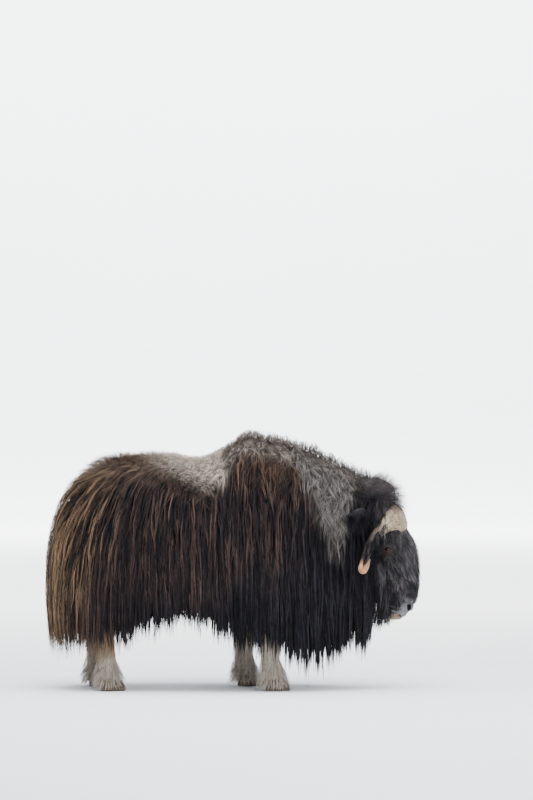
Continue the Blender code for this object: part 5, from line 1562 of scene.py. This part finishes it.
def floor_material(colours):
    nodes = Nodes("floor")
    soft = nodes.noise(0.35, 3.0)
    base = nodes.mix("MULTIPLY", colours["floor"], nodes.ramp(soft, (0.3, 0.985), (0.7, 1.0)), 1.0)
    place = nodes.add("ShaderNodeTexCoord").outputs["Object"]
    far = nodes.add("ShaderNodeSeparateXYZ", {"Vector": place}).outputs["Y"]
    rise = nodes.add("ShaderNodeMapRange",
                     {"Value": far, "From Min": 1.5, "From Max": 8.0, "To Max": FAR_GLOW})
    fall = nodes.add("ShaderNodeMapRange",
                     {"Value": far, "From Min": BEND, "From Max": BEND + 3.5, "To Min": 1, "To Max": 0})
    glow = nodes.add("ShaderNodeMath", {0: rise.outputs[0], 1: fall.outputs[0]},
                     operation="MULTIPLY").outputs[0]
    return nodes.finish(base, 0.95, Specular_IOR_Level=0.1, Emission_Color=(1, 1, 1, 1),
                        Emission_Strength=glow)


def give(material, *objects):
    for obj in objects:
        obj.data.materials.clear()
        obj.data.materials.append(material)


# What a user can change, the panel and the operators

def tint(name, about, *rgb):
    return bpy.props.FloatVectorProperty(
        name=name, description=about, subtype="COLOR", size=3, min=0, max=1, default=srgb(*rgb)
    )


def hair_count(name, about, count):
    return bpy.props.IntProperty(name=name, description=about, default=count, min=100)


class MuskoxColours(bpy.types.PropertyGroup):
    """Colours of the coat's zones, each from its dark hair to its light hair, and of horn, eye and hoof."""

    flank_dark: tint("Flank dark", "The darkest long hair of the flanks", 17, 15, 21)
    flank_light: tint("Flank streaks", "The reddish brown streaks of the flanks", 86, 68, 61)
    mane_dark: tint("Mane dark", "The black hair of the mane and the skirt", 8, 8, 12)
    mane_light: tint("Mane light", "The lighter hair of the mane and the skirt", 43, 41, 49)
    rump_dark: tint("Rump dark", "The dark hair at the rear", 24, 21, 26)
    rump_light: tint("Rump streaks", "The straw-coloured streaks at the rear", 160, 130, 98)
    rump_top_dark: tint("Rump top dark", "The dark hair over the rump", 54, 44, 40)
    rump_top_light: tint("Rump top light", "The light hair over the rump", 134, 113, 96)
    shoulder_dark: tint("Shoulder dark", "The dark hair below the hump", 24, 20, 22)
    shoulder_light: tint("Shoulder light", "The light hair below the hump", 98, 76, 62)
    saddle_dark: tint("Saddle dark", "The darker wool of the saddle", 142, 124, 106)
    saddle_light: tint("Saddle light", "The palest wool of the saddle", 252, 244, 232)
    hump_dark: tint("Hump dark", "The darker wool of the hump and the neck", 62, 54, 51)
    hump_light: tint("Hump light", "The grizzled wool of the hump and the neck", 168, 158, 149)
    cape_dark: tint("Cape dark", "The darker wool of the neck's side", 58, 55, 55)
    cape_light: tint("Cape light", "The grizzled wool of the neck's side", 148, 141, 136)
    cap_dark: tint("Cap dark", "The darker wool over the boss", 34, 31, 34)
    cap_light: tint("Cap light", "The lighter wool over the boss", 98, 89, 90)
    face_dark: tint("Face dark", "The dark hair of the face", 14, 13, 16)
    face_light: tint("Face light", "The grey hair of the face", 108, 104, 107)
    lid_dark: tint("Lid dark", "The skin round the eye", 10, 7, 7)
    lid_light: tint("Lid light", "The lighter skin round the eye", 62, 30, 28)
    muzzle_dark: tint("Muzzle dark", "The darker hair of the muzzle", 40, 38, 42)
    muzzle_light: tint("Muzzle light", "The pale hair of the muzzle", 166, 165, 170)
    lip_dark: tint("Lip dark", "The darker hair of the lower lip", 84, 70, 56)
    lip_light: tint("Lip light", "The pale hair of the lower lip", 188, 170, 144)
    leg_dark: tint("Leg dark", "The darker hair of the lower legs", 122, 109, 93)
    leg_light: tint("Leg light", "The pale hair of the lower legs", 208, 200, 187)
    thigh_dark: tint("Upper leg dark", "The dark hair of the upper legs", 74, 56, 44)
    thigh_light: tint("Upper leg light", "The lighter hair of the upper legs", 158, 128, 98)
    boss: tint("Boss", "The cream of the boss", 148, 134, 112)
    horn_middle: tint("Horn", "The horn beside the face", 58, 50, 45)
    horn_hook: tint("Hook", "The hook of the horn", 192, 140, 100)
    horn_tip: tint("Horn tip", "The tip of the horn", 96, 92, 92)
    horn_crack: tint("Horn cracks", "The cracks and specks of the horn", 40, 32, 28)
    horn_stain: tint("Boss stains", "The brown stains between the boss's ridges", 92, 72, 52)
    iris: tint("Iris", "The iris", 34, 20, 13)
    eye_white: tint("Rim of the eye", "The eyeball beyond the iris", 20, 15, 15)
    hoof: tint("Hoof", "The horn of the hooves", 56, 48, 42)
    hoof_worn: tint("Hoof rings", "The pale growth rings of the hooves", 118, 104, 88)
    floor: tint("Floor", "The pale floor and backdrop", 246, 248, 251)


class MuskoxSizes(bpy.types.PropertyGroup):
    """Sizes of the hair and the skin."""

    strand: bpy.props.FloatProperty(
        name="Strand width", description="Half the width of a long strand", default=STRAND_HALF,
        min=0.0005, unit="LENGTH",
    )
    fullness: bpy.props.FloatProperty(
        name="Fullness", description="How many clumps the trunk's coat has, as a share", default=1.0,
        min=0.05, max=1.2, subtype="FACTOR",
    )
    face_hairs: hair_count("Face hairs", "Short hairs on the face", 7800)
    beard_hairs: hair_count("Beard hairs", "Long hairs of the jaw", 1500)
    ear_hairs: hair_count("Ear hairs", "Hairs of both ears' fringes", 1500)
    cap_hairs: hair_count("Cap hairs", "Strands in the cap", 4700)
    leg_hairs: hair_count("Leg hairs", "Short hairs on each leg", 1800)
    voxel: bpy.props.FloatProperty(
        name="Skin detail", description="The grid that the head's skin is rebuilt on", default=0.0034,
        min=0.001, unit="LENGTH",
    )


def tone_pairs(colours):
    names = ("flank", "mane", "rump", "rump_top", "shoulder", "saddle", "hump", "cape", "cap", "face",
             "lid", "muzzle", "lip", "leg", "thigh")
    return {n: (np.array(getattr(colours, n + "_dark")), np.array(getattr(colours, n + "_light")))
            for n in names}


def named_colours(colours):
    names = ("boss", "horn_middle", "horn_hook", "horn_tip", "horn_crack", "horn_stain", "iris",
             "eye_white", "hoof", "hoof_worn", "floor")
    return {n: tuple(getattr(colours, n)) for n in names}


class MUSKOX_OT_stage(bpy.types.Operator):
    """Lays the pale floor and backdrop, the soft lights and the camera"""

    bl_idname = "muskox.stage"
    bl_label = "Stage"

    def execute(self, context):
        scene = context.scene
        colours = named_colours(scene.muskox_colours)
        profile = [(-45, 0), (BEND, 0)]
        profile += [(BEND + SWEEP * math.sin(a), SWEEP - SWEEP * math.cos(a))
                    for a in np.linspace(0, math.pi / 2, 17)[1:]]
        profile += [(BEND + SWEEP, 40)]
        rows = np.array([[(x, y, z - 0.0005) for x in (-40, 40)] for y, z in profile])
        bm = bmesh.new()
        draped(bm, rows)
        bmesh.ops.recalc_face_normals(bm, faces=bm.faces)
        floor = new_object("floor", bm, body=None)
        if floor.data.polygons[0].normal.z < 0:
            floor.data.flip_normals()
        give(floor_material(colours), floor)
        world = bpy.data.worlds.new("studio")
        world.use_nodes = True
        world.node_tree.nodes["Background"].inputs["Color"].default_value = (0.93, 0.96, 1.0, 1)
        world.node_tree.nodes["Background"].inputs["Strength"].default_value = 1.15
        scene.world = world
        body = (0, 0, 0.7)
        for name, place, aim, size, deep, power in (
            ("top", (0.0, -1.0, 6.0), body, 6.0, 6.0, 900),
            ("front", (1.5, -7.0, 3.5), body, 4.0, 4.0, 260),
            ("side", (7.0, -2.0, 4.0), body, 4.0, 4.0, 180),
            ("backdrop_light", (0, BEND - 1.5, 9.0), (0, BEND + 4.5, 3.5), 24.0, 3.0, 5200),
        ):
            light = bpy.data.lights.new(name, "AREA")
            light.shape = "SQUARE" if size == deep else "RECTANGLE"
            light.size, light.size_y, light.energy = size, deep, power
            obj = bpy.data.objects.new(name, light)
            obj.location = place
            obj.rotation_euler = (Vector(aim) - Vector(place)).to_track_quat("-Z", "Y").to_euler()
            scene.collection.objects.link(obj)
        camera = bpy.data.cameras.new("camera")
        camera.lens, camera.sensor_width = CAMERA_LENS, 36
        camera.clip_end = 200
        obj = bpy.data.objects.new("camera", camera)
        obj.location, obj.rotation_euler = CAMERA_PLACE, (math.pi / 2, 0, 0)
        scene.collection.objects.link(obj)
        scene.camera = obj
        return {"FINISHED"}


class MUSKOX_OT_skin(bpy.types.Operator):
    """Builds the closed skin of the body, head, ears, legs and tail"""

    bl_idname = "muskox.skin"
    bl_label = "Skin"

    def execute(self, context):
        scene = context.scene
        give(skin_material(), build_skin(tone_pairs(scene.muskox_colours), scene.muskox_sizes.voxel))
        return {"FINISHED"}


class MUSKOX_OT_coat(bpy.types.Operator):
    """Grows the long coat of the trunk"""

    bl_idname = "muskox.coat"
    bl_label = "Coat"

    def execute(self, context):
        sizes = context.scene.muskox_sizes
        pieces = build_coat(tone_pairs(context.scene.muskox_colours), sizes.fullness, sizes.strand)
        give(hair_material("coat_hair", 260.0, 0.66, 0.14), *pieces)
        return {"FINISHED"}


class MUSKOX_OT_head_hair(bpy.types.Operator):
    """Grows the hair of the face, the cheeks and the cap over the boss"""

    bl_idname = "muskox.head_hair"
    bl_label = "Head hair"

    def execute(self, context):
        sizes = context.scene.muskox_sizes
        pieces = build_head_hair(
            tone_pairs(context.scene.muskox_colours),
            (sizes.face_hairs, sizes.beard_hairs, sizes.ear_hairs, sizes.cap_hairs)
        )
        give(hair_material("head_hair", 420.0, 0.66, 0.14), *pieces)
        return {"FINISHED"}


class MUSKOX_OT_leg_hair(bpy.types.Operator):
    """Grows the short hair of the legs"""

    bl_idname = "muskox.leg_hair"
    bl_label = "Leg hair"

    def execute(self, context):
        piece = build_leg_hair(tone_pairs(context.scene.muskox_colours), context.scene.muskox_sizes.leg_hairs)
        give(hair_material("leg_hair", 420.0, 0.66, 0.25), piece)
        return {"FINISHED"}


class MUSKOX_OT_horns(bpy.types.Operator):
    """Builds both horns with the boss"""

    bl_idname = "muskox.horns"
    bl_label = "Horns"

    def execute(self, context):
        give(horn_material(named_colours(context.scene.muskox_colours)), horn(-1), horn(1))
        return {"FINISHED"}


class MUSKOX_OT_eyes(bpy.types.Operator):
    """Builds both eyes"""

    bl_idname = "muskox.eyes"
    bl_label = "Eyes"

    def execute(self, context):
        give(eye_material(named_colours(context.scene.muskox_colours)), eye(-1), eye(1))
        return {"FINISHED"}


class MUSKOX_OT_hooves(bpy.types.Operator):
    """Builds the four hooves"""

    bl_idname = "muskox.hooves"
    bl_label = "Hooves"

    def execute(self, context):
        give(hoof_material(named_colours(context.scene.muskox_colours)), *[hoof(foot) for foot in FEET])
        return {"FINISHED"}


OPERATORS = (
    MUSKOX_OT_stage, MUSKOX_OT_skin, MUSKOX_OT_horns, MUSKOX_OT_eyes, MUSKOX_OT_hooves, MUSKOX_OT_coat,
    MUSKOX_OT_head_hair, MUSKOX_OT_leg_hair,
)


class MUSKOX_PT_panel(bpy.types.Panel):
    """Lists the muskox's pieces, sizes and colours"""

    bl_label = "Muskox"
    bl_space_type = "VIEW_3D"
    bl_region_type = "UI"
    bl_category = "Muskox"

    def draw(self, context):
        for operator in OPERATORS:
            self.layout.operator(operator.bl_idname)
        for group in (context.scene.muskox_sizes, context.scene.muskox_colours):
            box = self.layout.box()
            for key in group.__annotations__:
                box.prop(group, key)


CLASSES = (MuskoxColours, MuskoxSizes, *OPERATORS, MUSKOX_PT_panel)


def register():
    for item in CLASSES:
        bpy.utils.register_class(item)
    bpy.types.Scene.muskox_colours = bpy.props.PointerProperty(type=MuskoxColours)
    bpy.types.Scene.muskox_sizes = bpy.props.PointerProperty(type=MuskoxSizes)


def unregister():
    del bpy.types.Scene.muskox_sizes
    del bpy.types.Scene.muskox_colours
    for item in reversed(CLASSES):
        bpy.utils.unregister_class(item)


def main():
    register()
    for operator in OPERATORS:
        group, name = operator.bl_idname.split(".")
        getattr(getattr(bpy.ops, group), name)()
    bpy.context.view_layer.update()


if __name__ == "__main__":
    main()
